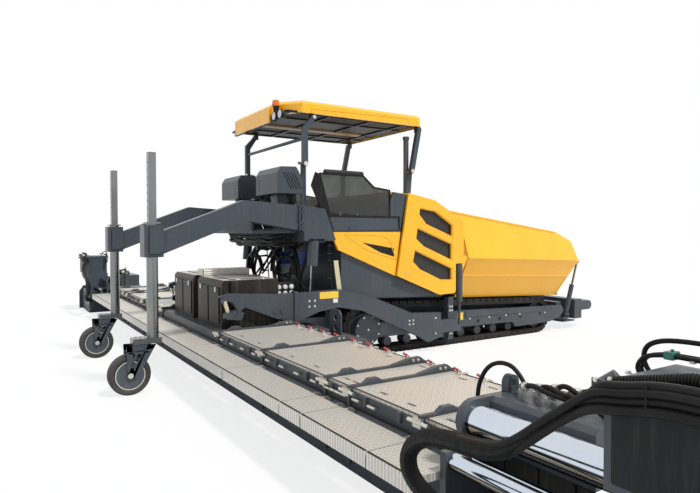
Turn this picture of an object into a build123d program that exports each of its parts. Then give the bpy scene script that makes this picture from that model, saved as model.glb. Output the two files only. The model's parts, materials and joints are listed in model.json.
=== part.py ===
from build123d import *
import os
from math import atan2, cos, degrees, hypot, pi, radians, sin, tan

# Asphalt paver with a wide modular screed, in millimetres.
# +X points forward to the hopper, +Y to the machine's left, +Z up; the origin is on the ground at the
# middle of the whole machine. Left-hand pieces are drawn and the right-hand ones mirrored.

# ---------------------------------------------------------------- driving dimensions
# General
run_gap = 6.0             # clearance between pieces that move past each other
seat_gap = 0.3            # clearance where curved pieces of one body seat
pin_gap = 0.1             # radial clearance of a pin in its bore
plate = 20.0              # structural plate
sheet = 12.0              # thin plate

# Tracks
track_outer = 1000.0      # outer face of the shoes, from the machine's middle
shoe_width = 320.0
shoe_pitch = 170.0
shoe_space = 30.0
shoe_height = 45.0
chain_depth = 60.0
sprocket_x = -917.0
sprocket_r = 440.0        # over the shoes
idler_set_back = 637.0    # from the frame's front to the idler's axle
idler_r = 350.0           # over the shoes
roller_r = 80.0
roller_first_x = -430.0
roller_count = 8

# Track frame
beam_width = 180.0
beam_bottom = 265.0
beam_top = 500.0
cover_reach = 80.0        # the side covers stand this far outside the shoes
cover_plate = 40.0
drive_cover_r = 245.0

# Chassis
track_room = 40.0         # between the main side plates and the shoes
frame_rear = -1450.0
frame_front = 3850.0
front_beam_depth = 150.0
frame_bottom = 330.0
deck_top = 1050.0
deck_plate = 50.0
bay_rear = -577.0         # engine bay bulkheads
bay_front = 975.0
floor_bottom = 1990.0     # operator's platform
floor_plate = 40.0
floor_rear = -2927.0
skirt_reach = 150.0       # the grey skirts' outer face stands this far outside the shoes
skirt_plate = 40.0
panel_plate = 50.0        # yellow and dark body panels, on the skirts' face
door_plate = 44.0
hood_inset = 10.0         # the hood's sides stand this far inside the panels' face
hood_skin = 40.0
door_hinge_x = 965.0
door_notch_z = 1460.0     # the doors' lower front corner clears the levelling cylinders
door_pin_r = 8.0
pipe_x = -68.0            # exhaust pipe, on the right of the hood
pipe_y = -960.0
pipe_r = 45.0
pipe_drop = 160.0         # from the roof's underside to the pipe's mouth

# Hopper
hopper_tilt = 2.45        # degrees nose down, like the upper run of the tracks
wing_hinge_x = 1100.0
wing_hinge_y = 900.0
wing_hinge_z = 850.0
hinge_r = 24.0
wing_plate = 30.0
chute_depth = 130.0       # from the hinge line down to the frame's top edge
hopper_rear = 1030.0
hopper_lip = 50.0         # the hopper runs this far past the frame
hinge_pin_r = 12.0
hinge_pin_reach = 110.0
wing_low_y = 945.0        # foot of the wing's outer face
wing_crease_y = 1300.0
wing_crease_z = 1554.0
wing_top_y = 1000.0
wing_top_z = 2415.0
conveyor_half = 560.0
conveyor_top = 640.0
flight_pitch = 330.0      # of the conveyor's bars

# Screed
tow_pin_x = 390.0
tow_pin_z = 400.0
tow_pin_r = 30.0
arm_plate = 100.0         # tow arms' width
arm_slot = 56.0
deck_front = -2374.0
deck_rear = -3514.0
screed_top = 680.0
deck_thickness = 20.0
centre_half = 1400.0
joint_bar = 40.0
segment_widths = (1431.0, 1401.0, 400.0, 943.0, 505.0)
walk_front = -3597.0
walk_rear = -3977.0
walk_top = 550.0
walk_depth = 50.0
walk_lip = 110.0          # the rear edge is bent down this far
tube_x = -3517.0          # upper guide tube of the sliding end
tube_z = 835.0
tube_r = 100.0
low_tube_x = -3700.0
low_tube_z = 615.0
low_tube_r = 55.0
ram_x = -3580.0           # rod of the cylinder that pushes the sliding end
ram_z = 600.0
ram_r = 35.0
end_gap = 870.0           # open stretch from the fixed screed to the sliding end
end_foot = 1166.0         # width of the sliding end's screed foot
gate_plate = 40.0
guide_plate = 50.0        # carries the tubes at the end of the fixed screed
guide_lobe = 130.0        # round of that plate about the upper tube
wall_set_back = 360.0     # from the foot's inner face to the upper box
foot_top = 540.0
hose_r = 50.0
tray_width = 767.0
tray_depth = 537.0

# Support arms and casters
support_inner = 1160.0
support_outer = 1340.0
leg_x = -4317.0
leg_y = 1256.0
leg_r = 70.0
leg_square = 95.0
leg_top = 3008.0
collar_bottom = 1696.0
collar_top = 2098.0
swivel_x = -4484.0
caster_trail = 123.0
caster_r = 250.0
caster_width = 160.0
fork_plate = 14.0
king_pin_r = 25.0
caster_axle_r = 20.0

# Canopy
roof_rear = -2427.0
roof_front = 143.0
roof_half = 1150.0
roof_depth = 180.0
head_room = 50.0          # from the posts' heads to the roof's underside
stub_height = 990.0       # from the floor to the posts' pivots
post_rise = 700.0
post_lean = 145.0
rear_post_x = -2069.0
front_post_x = -65.0
post_half = 40.0
post_inner = 1070.0
post_outer = 1140.0
stub_plate = 30.0         # fixed stub beside each post
post_pin_r = 15.0
stub_outer = post_inner - seat_gap
stub_inner = stub_outer - stub_plate
front_stub_line = ((-160, 2600), (-105, 3010), (-25, 3010), (-60, 2590))

# Push beam
push_roller_r = 100.0
push_roller_z = 460.0
roller_reach = 237.0      # from the beam's face to the rollers' axis
tongue_reach = 230.0      # from the front beam to the pivot
push_beam_depth = 230.0
push_beam_half = 1060.0

# Augers
auger_x = -2030.0
auger_z = 300.0
auger_r = 200.0
auger_end = 2600.0
auger_pitch = 250.0
auger_pin_r = 25.0

# ---------------------------------------------------------------- worked out from them
idler_x = frame_front - idler_set_back
cover_face = track_outer + cover_reach
frame_half = track_outer - shoe_width - track_room
skirt_face = track_outer + skirt_reach
panel_face = skirt_face + panel_plate
door_face = panel_face + run_gap + door_plate
hood_half = panel_face - hood_inset
arm_inner = panel_face
arm_outer = arm_inner + arm_plate
floor_top = floor_bottom + floor_plate
post_pivot_z = floor_top + stub_height
roof_bottom = post_pivot_z + post_rise + head_room
roof_top = roof_bottom + roof_depth

# ---------------------------------------------------------------- helpers


def middle(pair):
    """Middle of a (low, high) pair."""
    return (pair[0] + pair[1]) / 2


def block(x, y, z, mode=Mode.ADD):
    """A rectangular block between (low, high) pairs along X, Y and Z."""
    with Locations((middle(x), middle(y), middle(z))):
        Box(x[1] - x[0], y[1] - y[0], z[1] - z[0], mode=mode)


def outline(plane, points):
    """A closed outline of straight edges on a plane."""
    with BuildSketch(plane) as shape:
        with BuildLine():
            Polyline(*points, close=True)
        make_face()
    return shape.sketch


def side_plate(points, y, mode=Mode.ADD):
    """A plate cut to an (X, Z) outline, standing between two distances to the left of the middle."""
    plane = Plane(origin=(0, y[1], 0), x_dir=(1, 0, 0), z_dir=(0, -1, 0))
    extrude(outline(plane, points), amount=y[1] - y[0], mode=mode)


def cross_plate(points, x, mode=Mode.ADD):
    """A plate cut to a (Y, Z) outline, standing between two stations along X."""
    extrude(outline(Plane.YZ.offset(x[0]), points), amount=x[1] - x[0], mode=mode)


def flat_plate(points, z, mode=Mode.ADD):
    """A plate cut to an (X, Y) outline, lying between two heights."""
    extrude(outline(Plane.XY.offset(z[0]), points), amount=z[1] - z[0], mode=mode)


def bar(start, end, radius, mode=Mode.ADD):
    """A round bar from one point to another."""
    run = Vector(*end) - Vector(*start)
    with BuildSketch(Plane(origin=start, z_dir=run)) as ring:
        Circle(radius)
    extrude(ring.sketch, amount=run.length, mode=mode)


def across(x, z, y, radius, mode=Mode.ADD):
    """A round bar along Y between a pair of distances from the middle."""
    bar((x, y[0], z), (x, y[1], z), radius, mode)


def upright(x, y, z, radius, mode=Mode.ADD):
    """A round bar along Z between a pair of heights."""
    bar((x, y, z[0]), (x, y, z[1]), radius, mode)


def keep(piece, node):
    """Label a finished piece and write it."""
    piece.part.label = node
    export_step(piece.part, f"parts/{node}.step")
    print(f"{node}: {len(piece.part.solids())} solids")


def keep_pair(piece, node):
    """Write a left-hand piece and its mirror image on the right."""
    keep(piece, f"{node}_left")
    with BuildPart() as twin:
        mirror(piece.part, about=Plane.XZ)
    keep(twin, f"{node}_right")


os.makedirs("parts", exist_ok=True)

# ---------------------------------------------------------------- tracks
# The loop runs round the sprocket behind and the idler in front, both standing on the ground line.
loop_run = idler_x - sprocket_x
loop_slope = 2 * atan2(sprocket_r - idler_r, loop_run)
front_arc = pi - loop_slope
rear_arc = pi + loop_slope
loop_length = 2 * loop_run + idler_r * front_arc + sprocket_r * rear_arc


def loop_point(distance, depth):
    """Point on the loop, that far along from under the sprocket and that deep inside the outer line."""
    if distance < loop_run:
        return (sprocket_x + distance, depth)
    distance -= loop_run
    if distance < idler_r * front_arc:
        turn = distance / idler_r - pi / 2
        return (idler_x + (idler_r - depth) * cos(turn), idler_r + (idler_r - depth) * sin(turn))
    distance -= idler_r * front_arc
    turn = pi / 2 - loop_slope
    if distance < loop_run:
        x = idler_x + (idler_r - depth) * cos(turn) - distance * cos(loop_slope)
        return (x, idler_r + (idler_r - depth) * sin(turn) + distance * sin(loop_slope))
    turn += (distance - loop_run) / sprocket_r
    return (sprocket_x + (sprocket_r - depth) * cos(turn), sprocket_r + (sprocket_r - depth) * sin(turn))


def belt(depth):
    """Outline of the loop's inner side: two straight runs and two arcs, that deep inside the shoes."""
    front = (idler_x, depth)
    nose = (idler_x + idler_r - depth, idler_r)
    crown = loop_point(loop_run + idler_r * front_arc, depth)
    shoulder = loop_point(2 * loop_run + idler_r * front_arc, depth)
    tail = (sprocket_x - sprocket_r + depth, sprocket_r)
    heel = (sprocket_x, depth)
    plane = Plane(origin=(0, track_outer, 0), x_dir=(1, 0, 0), z_dir=(0, -1, 0))
    with BuildSketch(plane) as shape:
        with BuildLine():
            Line(heel, front)
            ThreePointArc(front, nose, crown)
            Line(crown, shoulder)
            ThreePointArc(shoulder, tail, heel)
        make_face()
    return shape.sketch


shoe_count = round(loop_length / shoe_pitch)
pitch = loop_length / shoe_count
tread = []
for number in range(shoe_count):
    start = number * pitch
    tread.append(loop_point(start, shoe_height))
    tread.append(loop_point(start, 0))
    tread.append(loop_point(start + pitch - shoe_space, 0))
    tread.append(loop_point(start + pitch - shoe_space, shoe_height))
with BuildPart() as track:
    side_plate(tread, (track_outer - shoe_width, track_outer))
    extrude(belt(shoe_height + chain_depth), amount=shoe_width, mode=Mode.SUBTRACT)
keep_pair(track, "track")

# ---------------------------------------------------------------- track frames
inside = shoe_height + chain_depth + seat_gap
track_middle = track_outer - shoe_width / 2
beam_y = (track_middle - beam_width / 2, track_middle + beam_width / 2)
roller_z = inside + roller_r
roller_step = (idler_x - idler_r - roller_first_x) / roller_count
sprocket_wheel_r = sprocket_r - inside
idler_wheel_r = idler_r - inside
cover_nose = frame_front + 65
cover_line = (
    (560, 330), (560, 610), (1095, 605), (cover_nose - 66, 513), (cover_nose, 400),
    (cover_nose - 135, 280), (cover_nose - 441, 209), (2496, 192), (2420, 290),
)
post_x = (655.0, 770.0)   # the tow point's upright guide
post_y = (cover_face + 40, cover_face + 140)
level_x = 880.0           # levelling cylinder
level_y = middle((arm_inner, arm_outer))
with BuildPart() as track_frame:
    block((sprocket_x + 200, idler_x - 150), beam_y, (beam_bottom, beam_top))
    across(sprocket_x, sprocket_r, beam_y, sprocket_wheel_r)
    across(idler_x, idler_r, beam_y, idler_wheel_r)
    for number in range(roller_count):
        across(roller_first_x + number * roller_step, roller_z, beam_y, roller_r)
    across(sprocket_x, sprocket_r, (beam_y[0], cover_face), drive_cover_r)
    side_plate(cover_line, (cover_face - cover_plate, cover_face))
    for x in (700, 1700, 2700):
        block((x, x + 160), (beam_y[1], cover_face - cover_plate), (beam_bottom + 70, beam_top - 20))
    for x in (0, 2300):
        block((x, x + 300), (frame_half, beam_y[0]), (beam_bottom + 60, beam_top - 20))
    block(post_x, post_y, (150, 880))
    block(post_x, (cover_face, post_y[0]), (300, 600))
    upright(level_x, level_y, (803, 1446), 55)
    upright(level_x, level_y, (700, 1400), 22 + seat_gap, Mode.SUBTRACT)
    block((840, bay_front - hood_skin), (1100, 1215), (1320, 1440))
keep_pair(track_frame, "track_frame")

# ---------------------------------------------------------------- chassis


def down_hopper(x):
    """Height of the hopper wings' hinge line at a station along X."""
    return wing_hinge_z - (x - wing_hinge_x) * tan(radians(hopper_tilt))


frame_line = (
    (frame_rear, frame_bottom), (frame_rear, deck_top - deck_plate), (bay_front, deck_top - deck_plate),
    (bay_front, down_hopper(bay_front) - chute_depth), (frame_front, down_hopper(frame_front) - chute_depth),
    (frame_front, frame_bottom),
)
deck_half = skirt_face - skirt_plate
beam_under = 1850.0       # underside of the support arms' cross beam
wall_top = floor_bottom
with BuildPart() as tractor_frame:
    side_plate(frame_line, (frame_half - 40, frame_half))
    mirror(about=Plane.XZ)
    block((frame_rear, frame_front), (-frame_half, frame_half), (frame_bottom, frame_bottom + plate))
    block((frame_rear - 50, bay_front), (-deck_half, deck_half), (deck_top - deck_plate, deck_top))
    block((frame_rear, frame_rear + 40), (-deck_half, deck_half), (deck_top, wall_top))
    for y in (-560, 500):
        block((-2150, frame_rear), (y, y + 60), (1700, beam_under))
keep(tractor_frame, "tractor_frame")

with BuildPart() as engine_block:
    block((-330, 800), (-430, 430), (deck_top, 1950))
    chamfer(engine_block.edges().filter_by(Axis.X).group_by(Axis.Z)[-1], 120)
keep(engine_block, "engine_block")

# ---------------------------------------------------------------- hood, doors and panels
hood_line = ((bay_rear, 2655), (-232, 2645), (323, 2542), (582, 2408), (bay_front, 2140))
hood_inner = (
    (bay_front - hood_skin, 2120), (560, 2370), (310, 2502), (-232, 2604), (bay_rear + hood_skin, 2612),
)
arch_line = (
    ((bay_rear, deck_top),) + hood_line + ((bay_front, deck_top), (bay_front - hood_skin, deck_top))
    + hood_inner + ((bay_rear + hood_skin, deck_top),)
)
wide_line = hood_line[1:] + ((bay_front, deck_top), (bay_front - hood_skin, deck_top)) + hood_inner[:-1]
narrow_line = (hood_line[0], hood_line[1], hood_inner[-2], hood_inner[-1], (bay_rear, 2612))
door_hinge_y = (panel_face + run_gap + door_face) / 2
with BuildPart() as engine_hood:
    side_plate(arch_line, (0, deck_half))
    side_plate(narrow_line, (0, skirt_face))
    side_plate(wide_line, (0, hood_half))
    side_plate(front_stub_line, (stub_inner, stub_outer))
    across(front_post_x, post_pivot_z, (stub_inner, stub_outer), post_half)
    across(front_post_x, post_pivot_z, (stub_inner, post_outer), post_pin_r)
    block((door_hinge_x - 20, door_hinge_x + 20), (skirt_face, door_hinge_y + 15), (1435, door_notch_z - seat_gap))
    upright(door_hinge_x, door_hinge_y, (1440, door_notch_z + 60), door_pin_r)
    block((door_hinge_x - 30, bay_front - 2), (1060, door_hinge_y + 11), (2178, 2196))
    block((door_hinge_x - 30, bay_front - 2), (1060, hood_half), (2130, 2178))
    upright(door_hinge_x, door_hinge_y, (2090, 2190), door_pin_r)
    for x in (-470, 120):
        side_plate(((x, 2500), (x, 2690), (x + 25, 2715), (x + 65, 2715), (x + 90, 2690), (x + 90, 2500)), (600, 620))
        across(x + 45, 2675, (599, 621), 20, Mode.SUBTRACT)
    mirror(about=Plane.XZ)
keep(engine_hood, "engine_hood")

door_line = (
    (-232, 2645), (323, 2542), (582, 2408), (981, 2139), (981, door_notch_z), (800, door_notch_z),
    (800, 985), (765, 950), (430, 942), (-462, 1297),
)
door_windows = (
    ((10, 2394), (341, 2347), (714, 2123), (715, 1936), (147, 2141), (-3, 2298)),
    ((-43, 2066), (701, 1794), (702, 1530), (93, 1769), (-70, 1898)),
    ((-96, 1698), (702, 1376), (703, 1188), (457, 1199), (12, 1389), (-136, 1520)),
)
window_recess = 10.0      # each window sits in a shallow moulded frame
window_frame = 16.0
door_skin = Plane(origin=(0, door_face, 0), x_dir=(1, 0, 0), z_dir=(0, -1, 0))
with BuildPart() as engine_door:
    side_plate(door_line, (panel_face + run_gap, door_face))
    for window in door_windows:
        side_plate(window, (panel_face, door_face), Mode.SUBTRACT)
        with BuildSketch(door_skin) as moulding:
            with BuildLine():
                Polyline(*window, close=True)
            make_face()
            offset(amount=window_frame, kind=Kind.INTERSECTION)
        extrude(moulding.sketch, amount=window_recess, mode=Mode.SUBTRACT)
    upright(door_hinge_x, door_hinge_y, (door_notch_z - 10, door_notch_z + 70), door_pin_r + pin_gap, Mode.SUBTRACT)
    upright(door_hinge_x, door_hinge_y, (2080, 2200), door_pin_r + pin_gap, Mode.SUBTRACT)
keep_pair(engine_door, "engine_door")

with BuildPart() as rear_panels:
    side_plate(((-1680, 2009), (-363, 2009), (-470, 1297), (-1548, 1736)), (skirt_face, panel_face))
    mirror(about=Plane.XZ)
keep(rear_panels, "rear_panels")

skirt_line = (
    (-1468, 1990), (-1469, 1092), (-843, 956), (563, 896), (700, 960), (700, 1050), (-470, 1310), (-577, 1990),
)
belt_line = ((-1680, 2012), (-366, 2012), (-245, 2620), (-502, 2655), (-577, 2500), (-577, 2250), (-1750, 2235))
with BuildPart() as side_panels:
    side_plate(skirt_line, (skirt_face - skirt_plate, skirt_face))
    side_plate(belt_line, (skirt_face, panel_face))
    mirror(about=Plane.XZ)
keep(side_panels, "side_panels")

glass_line = ((-1750, 2235 + seat_gap), (-578, 2250 + seat_gap), (-578, 2680), (-876, 2714), (-1081, 2886), (-1866, 2886))
with BuildPart() as windows:
    side_plate(glass_line, (skirt_face + 10, skirt_face + 30))
    mirror(about=Plane.XZ)
keep(windows, "windows")

# The pipe stands on the hood's slope, touching it along its uphill side.
slope_start = hood_line[1]
slope_fall = (hood_line[1][1] - hood_line[2][1]) / (hood_line[2][0] - hood_line[1][0])
pipe_foot = slope_start[1] - (pipe_x - pipe_r - slope_start[0]) * slope_fall + seat_gap
with BuildPart() as exhaust_pipe:
    pipe_top = roof_bottom - pipe_drop
    upright(pipe_x, pipe_y, (pipe_foot, pipe_top), pipe_r)
    upright(pipe_x, pipe_y, (pipe_top - 50, pipe_top), pipe_r + 10)
keep(exhaust_pipe, "exhaust_pipe")

# ---------------------------------------------------------------- platform
stub_line = (
    (rear_post_x - post_half, floor_top), (rear_post_x - post_half, post_pivot_z),
    (rear_post_x + post_half, post_pivot_z), (rear_post_x + post_half, floor_top),
)
with BuildPart() as platform:
    block((floor_rear, bay_rear), (-skirt_face, skirt_face), (floor_bottom, floor_top))
    for y in (-stub_outer, stub_inner):
        side_plate(stub_line, (y, y + stub_plate))
        across(rear_post_x, post_pivot_z, (y, y + stub_plate), post_half)
    for y in (-post_outer, stub_inner):
        across(rear_post_x, post_pivot_z, (y, y + post_outer - stub_inner), post_pin_r)
    block((-1000, bay_rear), (-900, 900), (floor_top, 2500))
    block((floor_rear, floor_rear + 40), (-1100, 1100), (floor_top, 2250))
keep(platform, "platform")

# ---------------------------------------------------------------- hopper
axis_x = cos(radians(hopper_tilt))
axis_z = -sin(radians(hopper_tilt))
hopper_end = frame_front + hopper_lip
beam_face = frame_front + front_beam_depth


ledge_edge = wing_hinge_y - hinge_r - run_gap
with BuildPart() as hopper_floor:
    for x in (hopper_rear, hopper_end - plate):
        z = down_hopper(x + plate / 2)
        cross_plate(
            ((0, z - chute_depth + 35), (frame_half - 41, z - chute_depth + 35), (frame_half - 41, z - 30),
             (ledge_edge, z - 30), (wing_hinge_y + hinge_r, z - hinge_r), (wing_hinge_y + hinge_r, z + 20),
             (wing_hinge_y - 60, z + 60), (0, z + 60)), (x, x + plate))
    for depth, y in ((chute_depth, (frame_half - 40, frame_half)), (30, (frame_half - 40, ledge_edge))):
        side_plate(
            ((hopper_rear, down_hopper(hopper_rear) - depth), (hopper_rear, down_hopper(hopper_rear)),
             (frame_front, down_hopper(frame_front)), (frame_front, down_hopper(frame_front) - depth)), y)
    side_plate(
        ((frame_front, down_hopper(frame_front) - 30), (frame_front, down_hopper(frame_front)),
         (hopper_end, down_hopper(hopper_end)), (hopper_end, down_hopper(hopper_end) - 30)),
        (frame_half - 40, ledge_edge))
    for x in (hopper_rear, hopper_end - hinge_pin_reach):
        bar(
            (x, wing_hinge_y, down_hopper(x)),
            (x + hinge_pin_reach, wing_hinge_y, down_hopper(x + hinge_pin_reach)), hinge_pin_r)
    block((hopper_rear - 30, hopper_rear), (0, 860), (down_hopper(hopper_rear) - 20, 2080))
    mirror(about=Plane.XZ)
keep(hopper_floor, "hopper_floor")

with BuildPart() as conveyor:
    block((frame_rear - 100, frame_front - 10), (40, conveyor_half), (conveyor_top - 130, conveyor_top - 30))
    for number in range(int((frame_front - frame_rear) / flight_pitch)):
        x = frame_rear + 20 + number * flight_pitch
        block((x, x + 40), (60, conveyor_half - 20), (conveyor_top - 30, conveyor_top))
    mirror(about=Plane.XZ)
    block((frame_rear, frame_front - 10), (-40, 40), (frame_bottom + plate, conveyor_top + 20))
keep(conveyor, "conveyor")

# The wing's cylinder works in a plane square to the hinge line.
foot_y = 1000.0
foot_z = 300.0
lug_y = 1230.0
lug_z = 1400.0
cylinder_x = beam_face + 73
lug_x = cylinder_x + (lug_z - foot_z) * tan(radians(hopper_tilt))
foot_point = Vector(cylinder_x, foot_y, foot_z)
lug_point = Vector(lug_x, lug_y, lug_z)
push = (lug_point - foot_point).normalized()
hinge_line = Vector(axis_x, 0, axis_z)
rod_eye = 44.0
barrel_eye = 50.0

# A wing is one cranked plate drawn across the hinge line and trimmed to its side outline.
wing_rise = wing_crease_z - wing_hinge_z
wing_reach = wing_crease_y - wing_hinge_y
foot = wing_low_y - wing_hinge_y
top_rise = wing_top_z - wing_hinge_z
top_reach = wing_top_y - wing_hinge_y
wing_section = (
    (-hinge_r, 0), (foot - 8, -hinge_r), (wing_reach, wing_rise), (top_reach, top_rise),
    (top_reach - wing_plate, top_rise), (wing_reach - wing_plate * 1.15, wing_rise), (foot - 45, 30),
)
wing_rear = hopper_rear + plate + run_gap
wing_front = hopper_end - plate - run_gap
wing_side = (
    (wing_rear, 780), (wing_rear, 2150), (850, 2390), (hopper_end - 308, 2013), (hopper_end + 109, 1817),
    (hopper_end + 178, 1435), (hopper_end - 97, 650),
)
wing_plane = Plane(origin=(wing_hinge_x, wing_hinge_y, wing_hinge_z), x_dir=(0, 1, 0), z_dir=(axis_x, 0, axis_z))


def wing_point(x, z):
    """Point on the raised wing's outer face, above or below its crease."""
    rise = (z - wing_hinge_z) * axis_x - (x - wing_hinge_x) * axis_z
    low = (-hinge_r, wing_low_y - 8)
    crease = (wing_rise, wing_crease_y)
    top = (top_rise, wing_top_y)
    start, end = (low, crease) if rise < wing_rise else (crease, top)
    share = (rise - start[0]) / (end[0] - start[0])
    return (x, start[1] + share * (end[1] - start[1]), z)


# Pressed ribs stiffen the wing: along its top edge, its crease and its lower panel.
wing_ribs = (             # rear x and z, front x and z, radius
    (wing_rear - 140, 2356, hopper_end - 330, 1997, 18),
    (wing_rear + 10, 1555, hopper_end + 90, 1437, 12),
    (wing_rear + 10, 1235, hopper_end + 60, 1115, 10),
)
with BuildPart() as hopper_wing:
    extrude(outline(wing_plane.offset(-400), wing_section), amount=hopper_end + 200 - wing_hinge_x + 700)
    side_plate(wing_side, (700, 1500), Mode.INTERSECT)
    for rear_x, rear_z, front_x, front_z, radius in wing_ribs:
        bar(wing_point(rear_x, rear_z), wing_point(front_x, front_z), radius)
    bar(
        (wing_rear, wing_hinge_y, down_hopper(wing_rear)),
        (wing_front, wing_hinge_y, down_hopper(wing_front)), hinge_r)
    for start, end in ((wing_rear - 20, hopper_rear + hinge_pin_reach + 10),
                       (hopper_end - hinge_pin_reach - 10, wing_front + 20)):
        bar(
            (start, wing_hinge_y, down_hopper(start)), (end, wing_hinge_y, down_hopper(end)),
            hinge_pin_r + pin_gap, Mode.SUBTRACT)
    bar(lug_point - hinge_line * 80, lug_point - hinge_line * (rod_eye / 2 + seat_gap), 45)
    bar(lug_point - hinge_line * 40, lug_point + hinge_line * (rod_eye / 2), 8)
keep_pair(hopper_wing, "hopper_wing")

def eye(point, width, radius, mode=Mode.ADD):
    """A cylinder's eye, its bore along the hopper's hinge line."""
    bar(point - hinge_line * (width / 2), point + hinge_line * (width / 2), radius, mode)


with BuildPart() as wing_barrel:
    bar(foot_point, foot_point + push * 90, 24)
    bar(foot_point + push * 75, foot_point + push * 640, 46)
    eye(foot_point, barrel_eye, 46)
    eye(foot_point, barrel_eye + 2, 16 + pin_gap, Mode.SUBTRACT)
    bar(foot_point + push * 60, foot_point + push * 700, 23.5 + pin_gap, Mode.SUBTRACT)
keep_pair(wing_barrel, "wing_barrel")
with BuildPart() as wing_rod:
    bar(foot_point + push * 350, lug_point - push * 50, 23.5)
    bar(lug_point - push * 60, lug_point, 18)
    eye(lug_point, rod_eye, 36)
    eye(lug_point, rod_eye + 2, 20, Mode.SUBTRACT)
keep_pair(wing_rod, "wing_rod")

# ---------------------------------------------------------------- front beam and push rollers
push_pivot_x = beam_face + tongue_reach
push_beam_rear = push_pivot_x + 60
push_beam_front = push_beam_rear + push_beam_depth
roller_x = push_beam_front + roller_reach
roller_shaft_r = 20.0
tongue_z = (380.0, 420.0)
with BuildPart() as front_beam:
    block((frame_front, beam_face), (0, 950), (220, 560))
    block((beam_face - 50, beam_face + 324), (640, 1040), (150, 175))
    block((beam_face - 50, beam_face), (640, 900), (175, 220))
    block((beam_face - 40, beam_face + 140), (900, 1050), (220, 246))
    for near, far in ((barrel_eye / 2 + seat_gap, 48), (-48, -barrel_eye / 2 - seat_gap)):
        bar(foot_point + hinge_line * near, foot_point + hinge_line * far, 58)
    eye(foot_point, 90, 16)
    mirror(about=Plane.XZ)
    block((beam_face, push_pivot_x + 50), (-100, 100), tongue_z)
    upright(push_pivot_x, 0, (tongue_z[0] - 5, tongue_z[1] + 5), 30 + pin_gap, Mode.SUBTRACT)
keep(front_beam, "front_beam")

with BuildPart() as push_beam:
    block((push_beam_rear, push_beam_front), (0, push_beam_half), (198, 600))
    for y in (260, push_beam_half - 40):
        side_plate(
            ((push_beam_front, push_roller_z - 95), (push_beam_front, push_roller_z + 95),
             (roller_x, push_roller_z + 95), (roller_x, push_roller_z - 95)), (y, y + 40))
        across(roller_x, push_roller_z, (y, y + 40), 95)
    across(roller_x, push_roller_z, (255, push_beam_half + 5), roller_shaft_r + pin_gap, Mode.SUBTRACT)
    for z in (tongue_z[0] - 40, tongue_z[1] + seat_gap):
        block((push_pivot_x - 60, push_beam_rear), (0, 130), (z, z + 40 - seat_gap))
    mirror(about=Plane.XZ)
    upright(push_pivot_x, 0, (tongue_z[0] - 40, tongue_z[1] + 40), 30)
keep(push_beam, "push_beam")
with BuildPart() as push_roller:
    across(roller_x, push_roller_z, (300 + run_gap, push_beam_half - 40 - run_gap), push_roller_r)
    across(roller_x, push_roller_z, (265, push_beam_half - 5), roller_shaft_r)
keep_pair(push_roller, "push_roller")

# ---------------------------------------------------------------- tow point
nose = (level_y - arm_slot / 2 + run_gap, level_y + arm_slot / 2 - run_gap)
block_z = (290.0, 510.0)
with BuildPart() as tow_blocks:
    block((tow_pin_x, 830), nose, block_z)
    across(tow_pin_x, tow_pin_z, nose, 90)
    block((post_x[0] - 50, post_x[1] + 50), (post_y[0] + run_gap, nose[1]), block_z)
    block(
        (post_x[0] - seat_gap, post_x[1] + seat_gap), (post_y[0], post_y[1] + seat_gap),
        (block_z[0] - 1, block_z[1] + 1), Mode.SUBTRACT)
    block((820, 910), nose, (290, 400))
    upright(level_x, level_y, (390, 1200), 22)
    across(tow_pin_x, tow_pin_z, (nose[0] - 1, nose[1] + 1), tow_pin_r + pin_gap, Mode.SUBTRACT)
    mirror(about=Plane.XZ)
keep(tow_blocks, "tow_blocks")

# ---------------------------------------------------------------- screed
arm_line = (
    (-3465, 1136), (-3304, 1178), (-2603, 1128), (-1538, 1137), (-945, 980), (-183, 673), (413, 645),
    (457, 234), (143, 167), (-62, 285), (-533, 499), (-1161, 791), (-1609, 874), (-1940, 833),
    (-2256, 724), (-2620, 782), (-3092, 979), (-3193, 914), (-3263, 1044),
)
with BuildPart() as tow_arms:
    side_plate(arm_line, (arm_inner, arm_outer))
    block((-2160, -1950), (level_y - arm_slot / 2, level_y + arm_slot / 2), (880, 1200), Mode.SUBTRACT)
    block((tow_pin_x - 110, 500), (level_y - arm_slot / 2, level_y + arm_slot / 2), (150, 700), Mode.SUBTRACT)
    across(tow_pin_x, tow_pin_z, (arm_inner, arm_outer), tow_pin_r)
    block((-2353, -2303), (arm_inner, arm_outer + 25), (724, 1154))
    block((-2400, -2303), (arm_inner, arm_outer), (screed_top, 760))
    mirror(about=Plane.XZ)
keep(tow_arms, "tow_arms")

segment_joints = tuple(centre_half + sum(segment_widths[:number]) for number in range(len(segment_widths)))
extension_end = centre_half + sum(segment_widths)
end_inner = extension_end + end_gap
section_line = (
    (deck_rear, 0), (-2960, 0), (-2900, 40), (-2900, 560), (deck_front, 620), (deck_front, screed_top),
    (deck_rear, screed_top),
)
with BuildPart() as screed_centre:
    side_plate(section_line, (-centre_half, centre_half))
keep(screed_centre, "screed_centre")

box_line = ((-3377, screed_top), (-3377, 1300), (-3337, 1340), (-2552, 1340), (-2552, screed_top))
with BuildPart() as screed_boxes:
    side_plate(box_line, (120, arm_inner - 50))
    block((-3259, -2552), (arm_inner - 50, arm_inner - seat_gap), (screed_top, 1340))
    for y in (200, 660):
        block((-3392, -3377), (y, y + 400), (screed_top + 60, 1240))
    block((-3200, -2620), (300, 1020), (1340, 1352))
    mirror(about=Plane.XZ)
    block((-3300, -2552), (-120, 120), (screed_top, 1440))
keep(screed_boxes, "screed_boxes")

joint_line = (
    (deck_rear - 20, 60), (-2880, 60), (-2880, 540), (deck_front + 10, 600),
    (deck_front + 10, screed_top + deck_thickness + 20), (deck_rear - 20, screed_top + deck_thickness + 20),
)
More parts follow.
